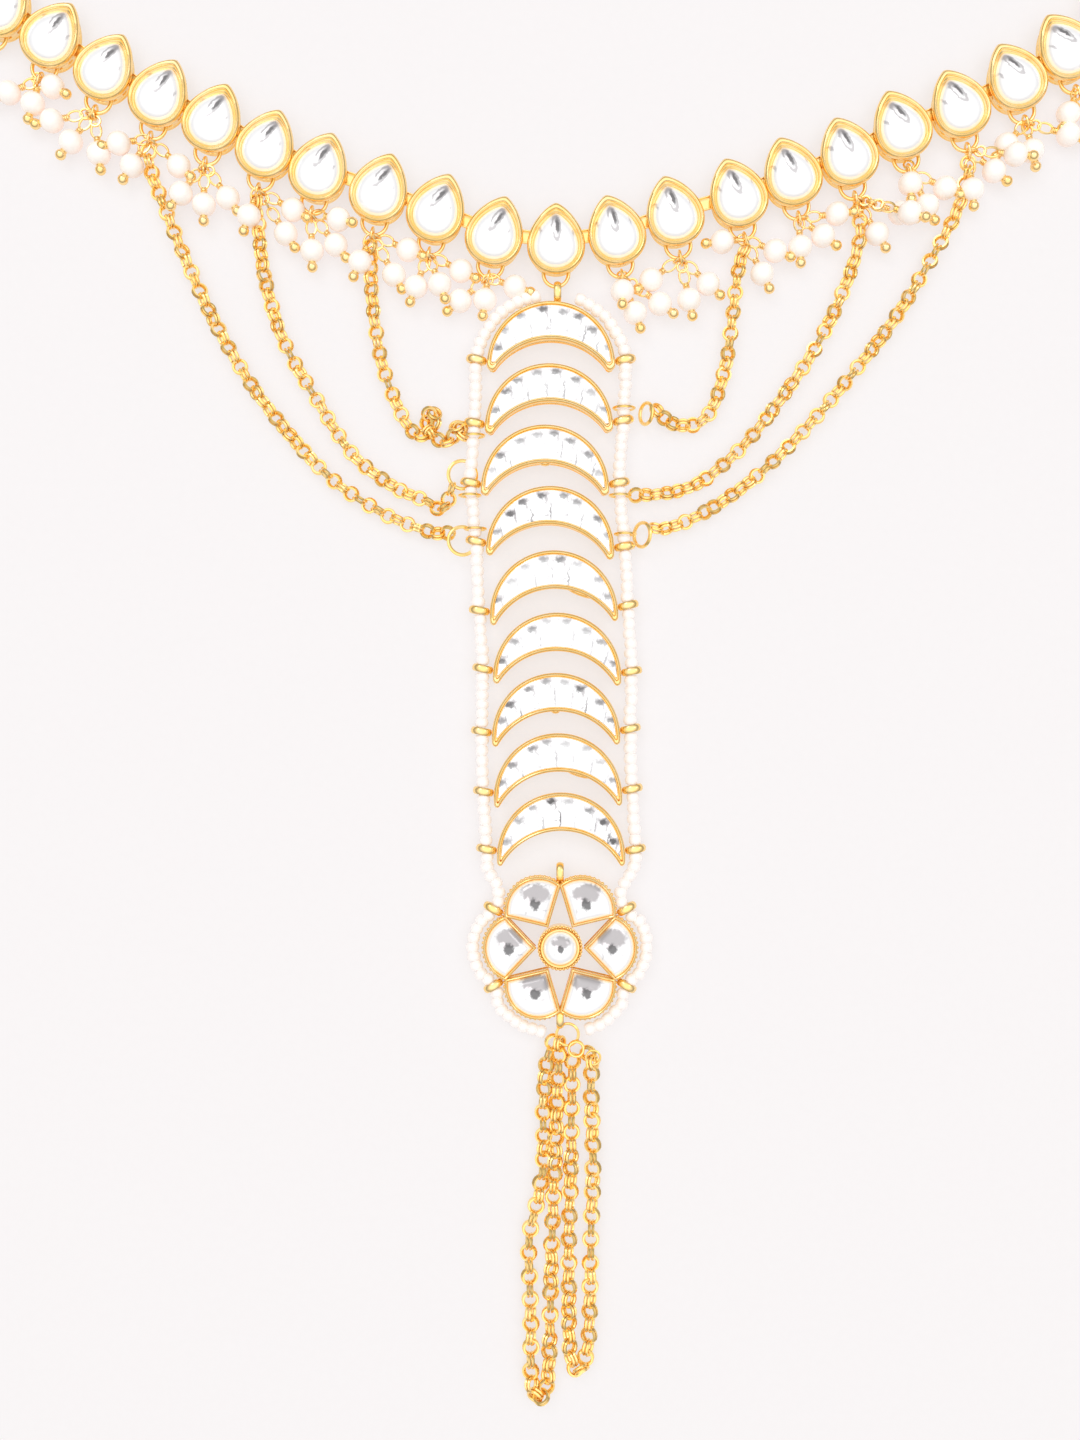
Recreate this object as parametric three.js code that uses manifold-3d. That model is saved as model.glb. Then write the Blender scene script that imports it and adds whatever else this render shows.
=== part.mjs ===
// A ring bracelet: a wrist strap of pear-shaped stones with pearl drops, a panel of
// crescents and a flower over the back of the hand, and chains for the finger.
// It lies flat, stones up. Millimetres, +Z up, with the strap towards +Y and the finger
// chains towards -Y.
import * as THREE from 'three';
import { mergeVertices } from 'three/addons/utils/BufferGeometryUtils.js';
import Module from 'manifold-3d';

const wasm = await Module();
wasm.setup();

// ---- driving dimensions -------------------------------------------------------------

const CHAIN_WIDTH = 1.45;      // outer width of a side chain's links
const FINGER_CHAIN_WIDTH = 1.3;
const BEAD_WIDTH = 1.3;        // outer width of the string of seed beads
const FLOOR_GAP = 0.03;        // height of the lowest wire above the floor
const SEAT_GAP = 0.15;         // clearance between pieces that hold each other
const WIRE_SIDES = 5;
const LINK_SIDES = 10;         // corners round a meshed jump ring
const CHAIN_SIDES = 7;
const EYE_HEIGHT = 1.2;        // height of the holes that the bead strings pass through

// Pear links: a stone in a walled setting, with a wire ring below it.
const PEAR = {
  width: 5.5, height: 7.1, corners: 10, fullest: 0.859,
  wallTop: 2.05, rimTop: 2.5, rimScale: 0.86, stoneTable: 2.95, tableScale: 0.42,
};
// A flat plate soldered into one setting's wall enters a slot in the next one's.
const PLATE = {
  width: 1.1, thickness: 0.4, height: 1.2, sunk: 0.6, slotWidth: 1.4, slotHeight: 0.7,
  slotDepth: 0.65,
};
// The wire ring below a link swings back towards straight down by a share of the tilt.
const HANGER = {
  halfWidth: 1.2, legTop: -2.5, archCentre: -3.95, wire: 0.2, height: 0.9, swing: 0.4,
  corners: 3,
};
const JUMP_RING = { radius: 0.7, wire: 0.13, hang: 0.15 };
const PIN_WIRE = 0.1;

// The middle of each link's stone, from the centre one outward, and the link's tilt in
// degrees: the strap lies in a loose curve, not quite even.
const STRAP = {
  centre: [-0.4, 47.9, 0],
  left: [[-6.4, 48.7, 17], [-12.2, 51, 21], [-17.9, 53, 20], [-23.9, 55.1, 22],
    [-29.2, 57.4, 23], [-34.5, 60, 24], [-39.8, 62.5, 28], [-45.2, 65.1, 31],
    [-50.5, 68.3, 34], [-55.6, 71.4, 34]],
  right: [[5.5, 48.8, 16], [11.3, 50.7, 16], [17.6, 52.5, 20], [23, 54.6, 20],
    [28.6, 56.6, 21], [33.9, 59.3, 23], [39.7, 61.4, 25], [45.3, 64.1, 29],
    [50.3, 67.1, 32], [55.3, 70.4, 33]],
};

// Two pearls hang from each link but the centre and last ones. Each pearl's place is
// [right, down] from the middle of its stone.
const PEARL_RADIUS = 1.2;
const DROPS = [
  { link: 1, left: [[-3.6, 6.8], [-1.1, 6.7]], right: [[2, 8.1], [4.5, 7.2]] },
  { link: 2, left: [[-2.2, 7.7], [0.2, 7.6]], right: [[-2.2, 6.7], [1.6, 8.7]] },
  { link: 3, left: [[-2.1, 7.2], [1.3, 8.5]], right: [[2.6, 7.9], [3.9, 5.6]] },
  { link: 4, left: [[-0.9, 8.2], [1.5, 7.6]], right: [[1, 7.3], [3.3, 6.2]] },
  { link: 5, left: [[-1.9, 7], [1.8, 8.8]], right: [[3.1, 8], [5.4, 5.9]] },
  { link: 6, left: [[-1.1, 8.5], [1.3, 7.8]], right: [[2.8, 7.9], [4.6, 6.1]] },
  { link: 7, left: [[-3, 7.1], [1.7, 7.1]], right: [[1.5, 8.4], [3.7, 6.5]] },
  { link: 8, left: [[-3.7, 7.3], [-0.9, 8.5]], right: [[-0.7, 6.6], [1.9, 7.2]] },
  { link: 9, left: [[-4.6, 5.6], [-2.2, 6.7]], right: [[0.5, 6.5], [2.9, 7.1]] },
];

// The panel: nine crescents hung between two bead strings, then a flower.
const CRESCENT = {
  outer: 6.4, outerRise: 0.1, inner: 6.75, innerDrop: 4.1, tipDrop: 0.7, height: 1.9,
  bezelTop: 2.2, bezel: 0.45, crown: 0.95, table: 2.55, eyeRise: 0.8, bailRight: 0.65,
  bailRise: 0.95,
};
// The middle of each crescent's outer curve, and its tilt in degrees.
const CRESCENTS = [
  [-0.9, 35.2, 0], [-1.1, 29.0, 1], [-1.5, 22.9, 0], [-1.0, 16.8, -2], [-0.6, 10.4, 2],
  [-0.3, 4.2, -1], [-0.4, -1.8, 1], [-0.2, -7.8, 1], [0.1, -13.7, 0],
];
const STRING_REACH = 7.45;     // from a crescent's middle to the bead strings
const STRING_ARCH = 7.35;      // rise of the strings over the first crescent
const EYE = { thickness: 0.6, hole: 0.88, wall: 0.3 };
const COLLAR_RING = { radius: 1.05, wire: 0.13, offset: 0.06, besideEye: 1.25 };

const FLOWER = {
  centre: new THREE.Vector2(0, -22.7), petals: 6, notch: 6.3, tip: 7.7, innerCorner: 2.35,
  bezel: 0.45, collar: 2.5, stone: 1.6, eyeReach: 7.5, endEyeReach: 7.3, beadReach: 8.7,
  height: 1.9, bezelTop: 2.2, table: 2.6, domeTop: 2.9,
};

// Side chains run from a link's jump ring to a crescent, through these places.
const SIDE_CHAINS = [
  { name: 'inner', side: 'left', link: 3, crescent: 2, besideEye: -1,
    route: [[-19, 45.5], [-18.7, 41], [-17.8, 35.5], [-15.6, 30.2], [-12.8, 28.2]] },
  { name: 'middle', side: 'left', link: 5, crescent: 3, besideEye: -1,
    route: [[-30.1, 48], [-29.3, 43], [-27.5, 37.5], [-24.2, 31.8], [-20.6, 26.4],
      [-16.2, 23.1], [-12.8, 22.2]] },
  { name: 'outer', side: 'left', link: 7, crescent: 4, besideEye: 1,
    route: [[-41, 55], [-39.3, 50.5], [-37, 45], [-34.4, 39.5], [-31, 33.7],
      [-27, 28.5], [-22.6, 23.9], [-17.5, 20.6], [-12.6, 19.1]] },
  { name: 'inner', side: 'right', link: 3, crescent: 2, besideEye: 1,
    route: [[18, 45.8], [17.3, 40.5], [16.5, 35], [14.6, 30.2], [11.4, 29.6]] },
  { name: 'middle', side: 'right', link: 5, crescent: 3, besideEye: -1,
    route: [[30.1, 48.5], [28.4, 43], [25.6, 37.3], [22, 32], [18.2, 27.3],
      [14, 23.8], [10.6, 22.7]] },
  { name: 'outer', side: 'right', link: 7, crescent: 4, besideEye: 1,
    route: [[40, 51.5], [36.8, 45.5], [33.4, 40], [29.4, 34.8],
      [24.8, 29.4], [19.8, 24.5], [15, 21.1], [10.8, 19.2]] },
];

// Two loops of fine chain for a finger hang from one ring in the flower's foot.
const FINGER_RING = { x: 0.3, y: -31.3, radius: 1.1, wire: 0.17 };
const FINGER_LOOPS = [
  [[-1.9, -36], [-2.3, -44], [-2.9, -52], [-3.2, -60], [-3.1, -66], [-2.25, -68.2],
    [-1.4, -66], [-1.35, -60], [-1.2, -52], [-0.75, -44], [-0.45, -36]],
  [[3.0, -36], [3.3, -44], [3.1, -52], [3.0, -58], [2.7, -63.4], [1.75, -65.6],
    [0.8, -63.4], [0.45, -58], [0.4, -52], [0.8, -44], [1.05, -36]],
];

// A plain chain and a barrel clasp close the strap behind the wrist.
const CLASP = { x: 57.7, y: 79.9, length: 4.6, radius: 1.1, turn: -0.85 };
const CLOSING_HEIGHT = 81.6;

// ---- solids -------------------------------------------------------------------------

function toSolid(geometry) {
  const bare = geometry.clone();
  bare.deleteAttribute('normal');
  bare.deleteAttribute('uv');
  const welded = mergeVertices(bare, 1e-4);
  return new wasm.Manifold(new wasm.Mesh({
    numProp: 3,
    vertProperties: welded.attributes.position.array,
    triVerts: Uint32Array.from(welded.index.array),
  }));
}

function toGeometry(solid) {
  const mesh = solid.getMesh();
  const geometry = new THREE.BufferGeometry();
  geometry.setAttribute('position', new THREE.BufferAttribute(mesh.vertProperties, 3));
  geometry.setIndex(new THREE.BufferAttribute(mesh.triVerts, 1));
  geometry.computeVertexNormals();
  return geometry;
}

function fuse(parts) {
  return toGeometry(parts.map(toSolid).reduce((whole, part) => whole.add(part)));
}

// A closed body through rings of points that all have the same count and sense.
function loft(rings) {
  const count = rings[0].length;
  const points = rings.flat().flatMap((point) => point.toArray());
  const flat = (ring) => ring.map((point) => new THREE.Vector2(point.x, point.y));
  const top = count * (rings.length - 1);
  const index = [];
  for (const [a, b, c] of THREE.ShapeUtils.triangulateShape(flat(rings[0]), [])) {
    index.push(a, c, b);
  }
  for (const [a, b, c] of THREE.ShapeUtils.triangulateShape(flat(rings.at(-1)), [])) {
    index.push(top + a, top + b, top + c);
  }
  for (let level = 0; level < rings.length - 1; level += 1) {
    for (let i = 0; i < count; i += 1) {
      const low = level * count + i;
      const next = level * count + (i + 1) % count;
      index.push(low, next, next + count, low, next + count, low + count);
    }
  }
  const geometry = new THREE.BufferGeometry();
  geometry.setAttribute('position', new THREE.Float32BufferAttribute(points, 3));
  geometry.setIndex(index);
  return geometry;
}

const atHeight = (outline, z) => outline.map((p) => new THREE.Vector3(p.x, p.y, z));

// A smooth path that is sampled at its own points, so each one gets a section.
class Route extends THREE.CatmullRomCurve3 {
  getPointAt(u, target) {
    return this.getPoint(u, target);
  }

  getTangentAt(u, target) {
    return this.getTangent(u, target);
  }
}

// A round bar along a route.
function tube(points, radius, sides) {
  const section = new THREE.Shape();
  for (let i = 0; i < sides; i += 1) {
    const turn = (2 * Math.PI * (i + 0.5)) / sides;
    section[i ? 'lineTo' : 'moveTo'](radius * Math.cos(turn), radius * Math.sin(turn));
  }
  const extrudePath = new Route(points, false, 'centripetal');
  return new THREE.ExtrudeGeometry(section, {
    extrudePath, steps: points.length - 1, bevelEnabled: false,
  });
}

function bar(start, end, radius, sides = WIRE_SIDES) {
  const along = end.clone().sub(start);
  const geometry = new THREE.CylinderGeometry(radius, radius, along.length(), sides);
  const turn = new THREE.Quaternion().setFromUnitVectors(
    new THREE.Vector3(0, 1, 0), along.clone().normalize());
  const middle = start.clone().add(end).multiplyScalar(0.5);
  return geometry.applyQuaternion(turn).translate(middle.x, middle.y, middle.z);
}

// A closed wire ring whose hole runs along the given level direction, or upward.
function wireRing(centre, radius, wire, holeTurn) {
  const geometry = new THREE.TorusGeometry(radius, wire, WIRE_SIDES, LINK_SIDES);
  if (holeTurn !== undefined) geometry.rotateY(Math.PI / 2).rotateZ(holeTurn);
  return geometry.translate(centre.x, centre.y, centre.z);
}

// A six-sided eye that stands on edge, its hole along the given level direction.
function eye(x, y, holeTurn) {
  const hexagon = (radius, path) => {
    for (let i = 0; i < 6; i += 1) {
      const turn = (Math.PI * i) / 3;
      path[i ? 'lineTo' : 'moveTo'](radius * Math.cos(turn), radius * Math.sin(turn));
    }
    path.closePath();
    return path;
  };
  const toCorner = 1 / Math.cos(Math.PI / 6);
  const outline = hexagon((EYE.hole + EYE.wall) * toCorner, new THREE.Shape());
  outline.holes.push(hexagon(EYE.hole * toCorner, new THREE.Path()));
  const geometry = new THREE.ExtrudeGeometry(outline, { depth: EYE.thickness, bevelEnabled: false });
  geometry.translate(0, 0, -EYE.thickness / 2).rotateX(Math.PI / 2).rotateZ(Math.PI / 2 + holeTurn);
  return geometry.translate(x, y, EYE_HEIGHT);
}

// ---- the strap ----------------------------------------------------------------------

function strapPlace([x, y, tilt], outward) {
  return { x, y, tilt: outward * THREE.MathUtils.degToRad(tilt) };
}

const CENTRE_PLACE = strapPlace(STRAP.centre, 1);
const PLACES = {
  left: STRAP.left.map((row) => strapPlace(row, -1)),
  right: STRAP.right.map((row) => strapPlace(row, 1)),
};

function pearOutline(scale) {
  const outline = [];
  for (let i = 0; i < PEAR.corners; i += 1) {
    const turn = (2 * Math.PI * i) / PEAR.corners;
    const fullness = Math.sin(turn) * Math.abs(Math.sin(turn / 2)) ** 0.52;
    outline.push(new THREE.Vector2(
      (-scale * fullness * PEAR.width) / (2 * PEAR.fullest),
      (scale * Math.cos(turn) * PEAR.height) / 2 - (1 - scale) * 0.3));
  }
  return outline;
}

function pearSetting() {
  return loft([
    atHeight(pearOutline(1), 0),
    atHeight(pearOutline(1), PEAR.wallTop),
    atHeight(pearOutline(PEAR.rimScale), PEAR.rimTop),
    atHeight(pearOutline(PEAR.tableScale), PEAR.stoneTable),
  ]);
}

function hanger(tilt) {
  const { halfWidth, legTop, archCentre, height } = HANGER;
  const points = [new THREE.Vector3(-halfWidth, legTop, height)];
  for (let i = 0; i <= HANGER.corners; i += 1) {
    const turn = Math.PI * (1 + i / HANGER.corners);
    points.push(new THREE.Vector3(
      halfWidth * Math.cos(turn), archCentre + halfWidth * Math.sin(turn), height));
  }
  points.push(new THREE.Vector3(halfWidth, legTop, height));
  return tube(points, HANGER.wire, WIRE_SIDES).rotateZ(-tilt * HANGER.swing);
}

// The flat link from one pear's wall into the slot of the next one's.
function linkPlate(place, next) {
  const away = new THREE.Vector2(next.x - place.x, next.y - place.y).rotateAround(
    new THREE.Vector2(), -place.tilt);
  const from = PEAR.width / 2 - PLATE.sunk;
  const reach = away.length() - PEAR.width / 2 + PLATE.slotDepth - SEAT_GAP;
  const plate = new THREE.BoxGeometry(reach - from, PLATE.width, PLATE.thickness);
  plate.translate((reach + from) / 2, 0, PLATE.height);
  return plate.rotateZ(away.angle());
}

function slotFor(place, from) {
  const back = new THREE.Vector2(from.x - place.x, from.y - place.y).rotateAround(
    new THREE.Vector2(), -place.tilt);
  const bottom = PEAR.width / 2 - PLATE.slotDepth;
  const length = 2;
  const slot = new THREE.BoxGeometry(length, PLATE.slotWidth, PLATE.slotHeight);
  return slot.translate(bottom + length / 2, 0, PLATE.height).rotateZ(back.angle());
}

function pearLink(place, inner, outers) {
  const parts = [pearSetting(), hanger(place.tilt), ...outers.map((next) => linkPlate(place, next))];
  let body = parts.map(toSolid).reduce((whole, part) => whole.add(part));
  if (inner) body = body.subtract(toSolid(slotFor(place, inner)));
  return body;
}

// The end link carries an eye for the closing chain in place of a next link.
function endEye(place) {
  const outward = Math.sign(place.tilt);
  return eye(0, 0, Math.PI / 2).translate(outward * (PEAR.width / 2 + EYE.hole), 0, 0);
}

// Where the wire ring below a link is lowest, and which way it hangs.
function hangPoint(place) {
  const turn = place.tilt * (1 - HANGER.swing);
  const archDepth = HANGER.halfWidth * Math.cos(Math.PI / (2 * HANGER.corners));
  const reach = archDepth - HANGER.archCentre + JUMP_RING.hang;
  return {
    turn,
    ring: new THREE.Vector3(
      place.x + reach * Math.sin(turn), place.y - reach * Math.cos(turn), HANGER.height),
    onRing: (lift) => new THREE.Vector3(
      place.x + (reach + JUMP_RING.radius * Math.cos(lift)) * Math.sin(turn),
      place.y - (reach + JUMP_RING.radius * Math.cos(lift)) * Math.cos(turn),
      HANGER.height + JUMP_RING.radius * Math.sin(lift)),
  };
}

function pearlBead() {
  const profile = [[0, -1], [0.97, -0.42], [0.97, 0.42], [0, 1]].map(
    ([x, y]) => new THREE.Vector2(x * PEARL_RADIUS, y * PEARL_RADIUS));
  return new THREE.LatheGeometry(profile, LINK_SIDES).rotateX(Math.PI / 2);
}

// Pearls on wire pins, all on one jump ring through the wire ring of their link.
function pearlDrops(place, offsets) {
  const { turn, ring, onRing } = hangPoint(place);
  const parts = [wireRing(ring, JUMP_RING.radius, JUMP_RING.wire, turn)];
  offsets.forEach(([right, down], i) => {
    const pearl = new THREE.Vector3(place.x + right, place.y - down, PEARL_RADIUS + FLOOR_GAP);
    parts.push(bar(onRing(i - 0.5), pearl, PIN_WIRE, 4));
    parts.push(pearlBead().translate(pearl.x, pearl.y, pearl.z));
  });
  return parts;
}

// ---- chains -------------------------------------------------------------------------

function chainRun(points, width) {
  return tube(points, width / 2, CHAIN_SIDES);
}

function crescentPlace(number) {
  const [x, y, tilt] = CRESCENTS[number - 1];
  return { x, y, tilt: THREE.MathUtils.degToRad(tilt) };
}

// Where the eye at one side of a crescent stands.
function crescentEye(number, outward) {
  const { x, y, tilt } = crescentPlace(number);
  const eye = new THREE.Vector3(outward * STRING_REACH, CRESCENT.eyeRise, EYE_HEIGHT);
  return eye.applyAxisAngle(new THREE.Vector3(0, 0, 1), tilt).add(new THREE.Vector3(x, y, 0));
}

function sideChain(chain) {
  const outward = chain.side === 'left' ? -1 : 1;
  const rest = CHAIN_WIDTH / 2 + FLOOR_GAP;
  const ringCentre = crescentEye(chain.crescent, outward).add(
    new THREE.Vector3(outward * COLLAR_RING.offset, chain.besideEye * COLLAR_RING.besideEye, 0));
  const run = [
    hangPoint(PLACES[chain.side][chain.link - 1]).onRing(0),
    ...chain.route.map(([x, y]) => new THREE.Vector3(x, y, rest)),
    ringCentre.clone().add(new THREE.Vector3(outward * COLLAR_RING.radius, 0, 0)),
  ];
  return [
    chainRun(run, CHAIN_WIDTH),
    wireRing(ringCentre, COLLAR_RING.radius, COLLAR_RING.wire, Math.PI / 2),
  ];
}

// ---- the panel ----------------------------------------------------------------------

// Outline of a crescent with blunt tips, drawn in by an inset from its edges.
function crescentOutline(inset) {
  const outer = CRESCENT.outer - inset;
  const inner = CRESCENT.inner + inset;
  const { outerRise, innerDrop, tipDrop } = CRESCENT;
  const meet = (inner ** 2 - outer ** 2 + outerRise ** 2 - innerDrop ** 2)
    / (2 * (outerRise + innerDrop));
  const tip = Math.max(inset - tipDrop, meet + 0.2);
  const outerTip = Math.asin((tip - outerRise) / outer);
  const innerTip = Math.asin((tip + innerDrop) / inner);
  const outline = [];
  for (let i = 0; i <= 8; i += 1) {
    const turn = outerTip + ((Math.PI - 2 * outerTip) * i) / 8;
    outline.push(new THREE.Vector2(outer * Math.cos(turn), outerRise + outer * Math.sin(turn)));
  }
  for (let i = 0; i <= 6; i += 1) {
    const turn = innerTip + ((Math.PI - 2 * innerTip) * (6 - i)) / 6;
    outline.push(new THREE.Vector2(inner * Math.cos(turn), inner * Math.sin(turn) - innerDrop));
  }
  return outline;
}

function crescent(number) {
  const parts = [loft([
    atHeight(crescentOutline(0), 0),
    atHeight(crescentOutline(0), CRESCENT.height),
    atHeight(crescentOutline(CRESCENT.bezel), CRESCENT.bezelTop),
    atHeight(crescentOutline(CRESCENT.crown), CRESCENT.table),
  ])];
  for (const outward of [-1, 1]) {
    parts.push(eye(outward * STRING_REACH, CRESCENT.eyeRise, Math.PI / 2));
  }
  const { bailRight, outer, outerRise, bailRise } = CRESCENT;
  if (number === 1) parts.push(eye(bailRight, outer + outerRise + bailRise, 0));
  return parts;
}

function petal(turn) {
  const { notch, tip, innerCorner, bezel } = FLOWER;
  const half = Math.PI / FLOWER.petals + 0.015;
  const notchX = notch * Math.cos(half);
  const notchY = notch * Math.sin(half);
  const rise = tip - notchX;
  const radius = (notchY ** 2 + rise ** 2) / (2 * rise);
  const centre = tip - radius;
  const sweep = Math.atan2(notchY, notchX - centre);
  const outline = [new THREE.Vector2(innerCorner, 0)];
  for (let i = 0; i <= 6; i += 1) {
    const angle = sweep * (i / 3 - 1);
    outline.push(new THREE.Vector2(centre + radius * Math.cos(angle), radius * Math.sin(angle)));
  }
  const middle = new THREE.Vector2(centre, 0);
  const shrunk = (scale) => outline.map((p) => p.clone().sub(middle).multiplyScalar(scale).add(middle));
  const bezelScale = 1 - bezel / radius;
  return loft([
    atHeight(outline, 0),
    atHeight(outline, FLOWER.height),
    atHeight(shrunk(bezelScale), FLOWER.bezelTop),
    atHeight(shrunk(0.5), FLOWER.table),
  ]).rotateZ(turn);
}

function flower() {
  const parts = [];
  for (let i = 0; i < FLOWER.petals; i += 1) parts.push(petal((2 * Math.PI * i) / FLOWER.petals));
  const dome = [
    [0, 0], [FLOWER.collar, 0], [FLOWER.collar, FLOWER.height], [FLOWER.stone, FLOWER.bezelTop],
    [FLOWER.stone * 0.5, FLOWER.domeTop], [0, FLOWER.domeTop],
  ].map(([x, y]) => new THREE.Vector2(x, y));
  parts.push(new THREE.LatheGeometry(dome, 12).rotateX(Math.PI / 2));
  for (const degrees of [30, 150, 210, 330]) {
    const turn = THREE.MathUtils.degToRad(degrees);
    const reach = FLOWER.eyeReach;
    parts.push(eye(reach * Math.cos(turn), reach * Math.sin(turn), turn + Math.PI / 2));
  }
  for (const up of [-1, 1]) {
    parts.push(eye(0, up * FLOWER.endEyeReach, 0));
  }
  return parts;
}

// The thread of seed beads on one side, from the first crescent's bail to the flower's foot.
function beadString(outward) {
  const points = [];
  const first = crescentPlace(1);
  const bailSide = outward < 0 ? 84 : 73;
  for (const degrees of [bailSide, 62, 43, 24]) {
    const turn = THREE.MathUtils.degToRad(degrees);
    points.push([first.x + outward * STRING_REACH * Math.cos(turn), first.y + STRING_ARCH * Math.sin(turn)]);
  }
  CRESCENTS.forEach((_, i) => {
    const { x, y } = crescentEye(i + 1, outward);
    points.push([x, y]);
  });
  const [lastX, lastY] = points.at(-1);
  points.push([lastX - outward * 0.15, lastY - 2]);
  const footSide = outward < 0 ? -81 : -74;
  for (const degrees of [43, 30, 17, 0, -17, -30, -43, -60, footSide]) {
    const turn = THREE.MathUtils.degToRad(degrees);
    const atEye = Math.abs(degrees) === 30;
    const besideEye = Math.abs(Math.abs(degrees) - 30) === 13;
    const reach = atEye ? FLOWER.eyeReach : FLOWER.beadReach - (besideEye ? 0.3 : 0);
    points.push([
      FLOWER.centre.x + outward * reach * Math.cos(turn), FLOWER.centre.y + reach * Math.sin(turn)]);
  }
  return chainRun(points.map(([x, y]) => new THREE.Vector3(x, y, EYE_HEIGHT)), BEAD_WIDTH);
}

// ---- finger chains and the closing chain --------------------------------------------

function fingerChains() {
  const { x, y, radius, wire } = FINGER_RING;
  const parts = [wireRing(new THREE.Vector3(x, y, EYE_HEIGHT), radius, wire)];
  const rest = FINGER_CHAIN_WIDTH / 2 + FLOOR_GAP;
  FINGER_LOOPS.forEach((loop, i) => {
    const run = loop.map(([px, py]) => new THREE.Vector3(px, py, rest));
    const onRing = (shift) => new THREE.Vector3(x + shift, y - radius, EYE_HEIGHT);
    const side = i ? 1 : -1;
    parts.push(chainRun([onRing(side * 0.75), ...run, onRing(side * 0.3)], FINGER_CHAIN_WIDTH));
  });
  return parts;
}

// Where a ring hangs in the outer eye of an end link.
function endRing(place) {
  const outward = Math.sign(place.tilt);
  const reach = PEAR.width / 2 + 2 * EYE.hole + EYE.wall / 2;
  return new THREE.Vector3(
    place.x + outward * reach * Math.cos(place.tilt),
    place.y + outward * reach * Math.sin(place.tilt), EYE_HEIGHT);
}

function closingChain() {
  const start = endRing(PLACES.left.at(-1));
  const rest = CHAIN_WIDTH / 2 + FLOOR_GAP;
  const claspEye = claspPoint(-1);
  const radius = JUMP_RING.radius;
  const run = [
    [start.x - 1.9, start.y + 4], [start.x - 0.2, CLOSING_HEIGHT - 2],
    [start.x + 4, CLOSING_HEIGHT], [-46, CLOSING_HEIGHT + 0.4], [-30, CLOSING_HEIGHT],
    [-15, CLOSING_HEIGHT + 0.3], [0, CLOSING_HEIGHT], [15, CLOSING_HEIGHT + 0.3],
    [30, CLOSING_HEIGHT], [44, CLOSING_HEIGHT + 0.6], [50, CLOSING_HEIGHT + 0.8],
  ].map(([x, y]) => new THREE.Vector3(x, y, rest));
  run.unshift(start.clone().add(new THREE.Vector3(-radius * 0.8, radius * 0.6, 0)));
  run.push(claspEye.clone().add(new THREE.Vector3(-radius * 0.9, radius * 0.4, 0)));
  return [
    chainRun(run, CHAIN_WIDTH),
    wireRing(start, radius, JUMP_RING.wire),
    wireRing(claspEye, radius, JUMP_RING.wire),
  ];
}

// A point beyond one end of the clasp, where a ring runs through its eye.
function claspPoint(end) {
  const reach = end * (CLASP.length / 2 + 2 * EYE.hole + EYE.wall / 2);
  return new THREE.Vector3(
    CLASP.x + reach * Math.cos(CLASP.turn), CLASP.y + reach * Math.sin(CLASP.turn), EYE_HEIGHT);
}

function clasp() {
  const barrel = new THREE.CylinderGeometry(CLASP.radius, CLASP.radius, CLASP.length, LINK_SIDES);
  const reach = CLASP.length / 2 + EYE.hole;
  const body = [
    barrel.rotateZ(Math.PI / 2).translate(0, 0, EYE_HEIGHT),
    eye(-reach, 0, Math.PI / 2),
  ].map((part) => part.rotateZ(CLASP.turn).translate(CLASP.x, CLASP.y, 0));
  const hook = endRing(PLACES.right.at(-1));
  const front = new THREE.Vector3(
    CLASP.x + (CLASP.length / 2 - 0.2) * Math.cos(CLASP.turn),
    CLASP.y + (CLASP.length / 2 - 0.2) * Math.sin(CLASP.turn), EYE_HEIGHT);
  return [
    ...body,
    wireRing(hook, JUMP_RING.radius, JUMP_RING.wire),
    bar(hook.clone().add(new THREE.Vector3(0.35, 0.6, 0)), front, 0.25),
  ];
}

// ---- materials and the scene --------------------------------------------------------

const gold = new THREE.MeshStandardMaterial({ color: '#e3ab3f', metalness: 1, roughness: 0.25 });
const stoneGold = new THREE.MeshStandardMaterial({ color: '#f1e6c8', metalness: 0.6, roughness: 0.1 });
const pearlWhite = new THREE.MeshStandardMaterial({ color: '#f6e9df', metalness: 0, roughness: 0.25 });
const beadWhite = new THREE.MeshStandardMaterial({ color: '#fbf3ee', metalness: 0, roughness: 0.35 });

const bracelet = new THREE.Group();

function addPiece(name, geometry, material, place) {
  const mesh = new THREE.Mesh(geometry, material);
  mesh.name = name;
  if (place) {
    mesh.position.set(place.x, place.y, 0);
    mesh.rotation.z = place.tilt ?? 0;
  }
  bracelet.add(mesh);
}

const two = (number) => String(number).padStart(2, '0');

addPiece('pear_centre',
  toGeometry(pearLink(CENTRE_PLACE, null, [PLACES.left[0], PLACES.right[0]])), stoneGold, CENTRE_PLACE);
for (const side of ['left', 'right']) {
  PLACES[side].forEach((place, i) => {
    const inner = PLACES[side][i - 1] ?? CENTRE_PLACE;
    const outer = PLACES[side][i + 1];
    let link = pearLink(place, inner, outer ? [outer] : []);
    if (!outer) link = link.add(toSolid(endEye(place)));
    addPiece(`pear_${side}_${two(i + 1)}`, toGeometry(link), stoneGold, place);
  });
  for (const { link, [side]: offsets } of DROPS) {
    const drops = pearlDrops(PLACES[side][link - 1], offsets);
    const chain = SIDE_CHAINS.find((each) => each.side === side && each.link === link);
    if (chain) {
      addPiece(`side_chain_${side}_${chain.name}`, fuse([...drops, ...sideChain(chain)]), gold);
    } else {
      addPiece(`pearl_drops_${side}_${two(link)}`, fuse(drops), pearlWhite);
    }
  }
}
for (let number = 1; number <= CRESCENTS.length; number += 1) {
  addPiece(`crescent_${two(number)}`, fuse(crescent(number)), stoneGold, crescentPlace(number));
}
addPiece('flower', fuse(flower()), stoneGold, { x: FLOWER.centre.x, y: FLOWER.centre.y });
addPiece('bead_string_left', fuse([beadString(-1)]), beadWhite);
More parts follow.
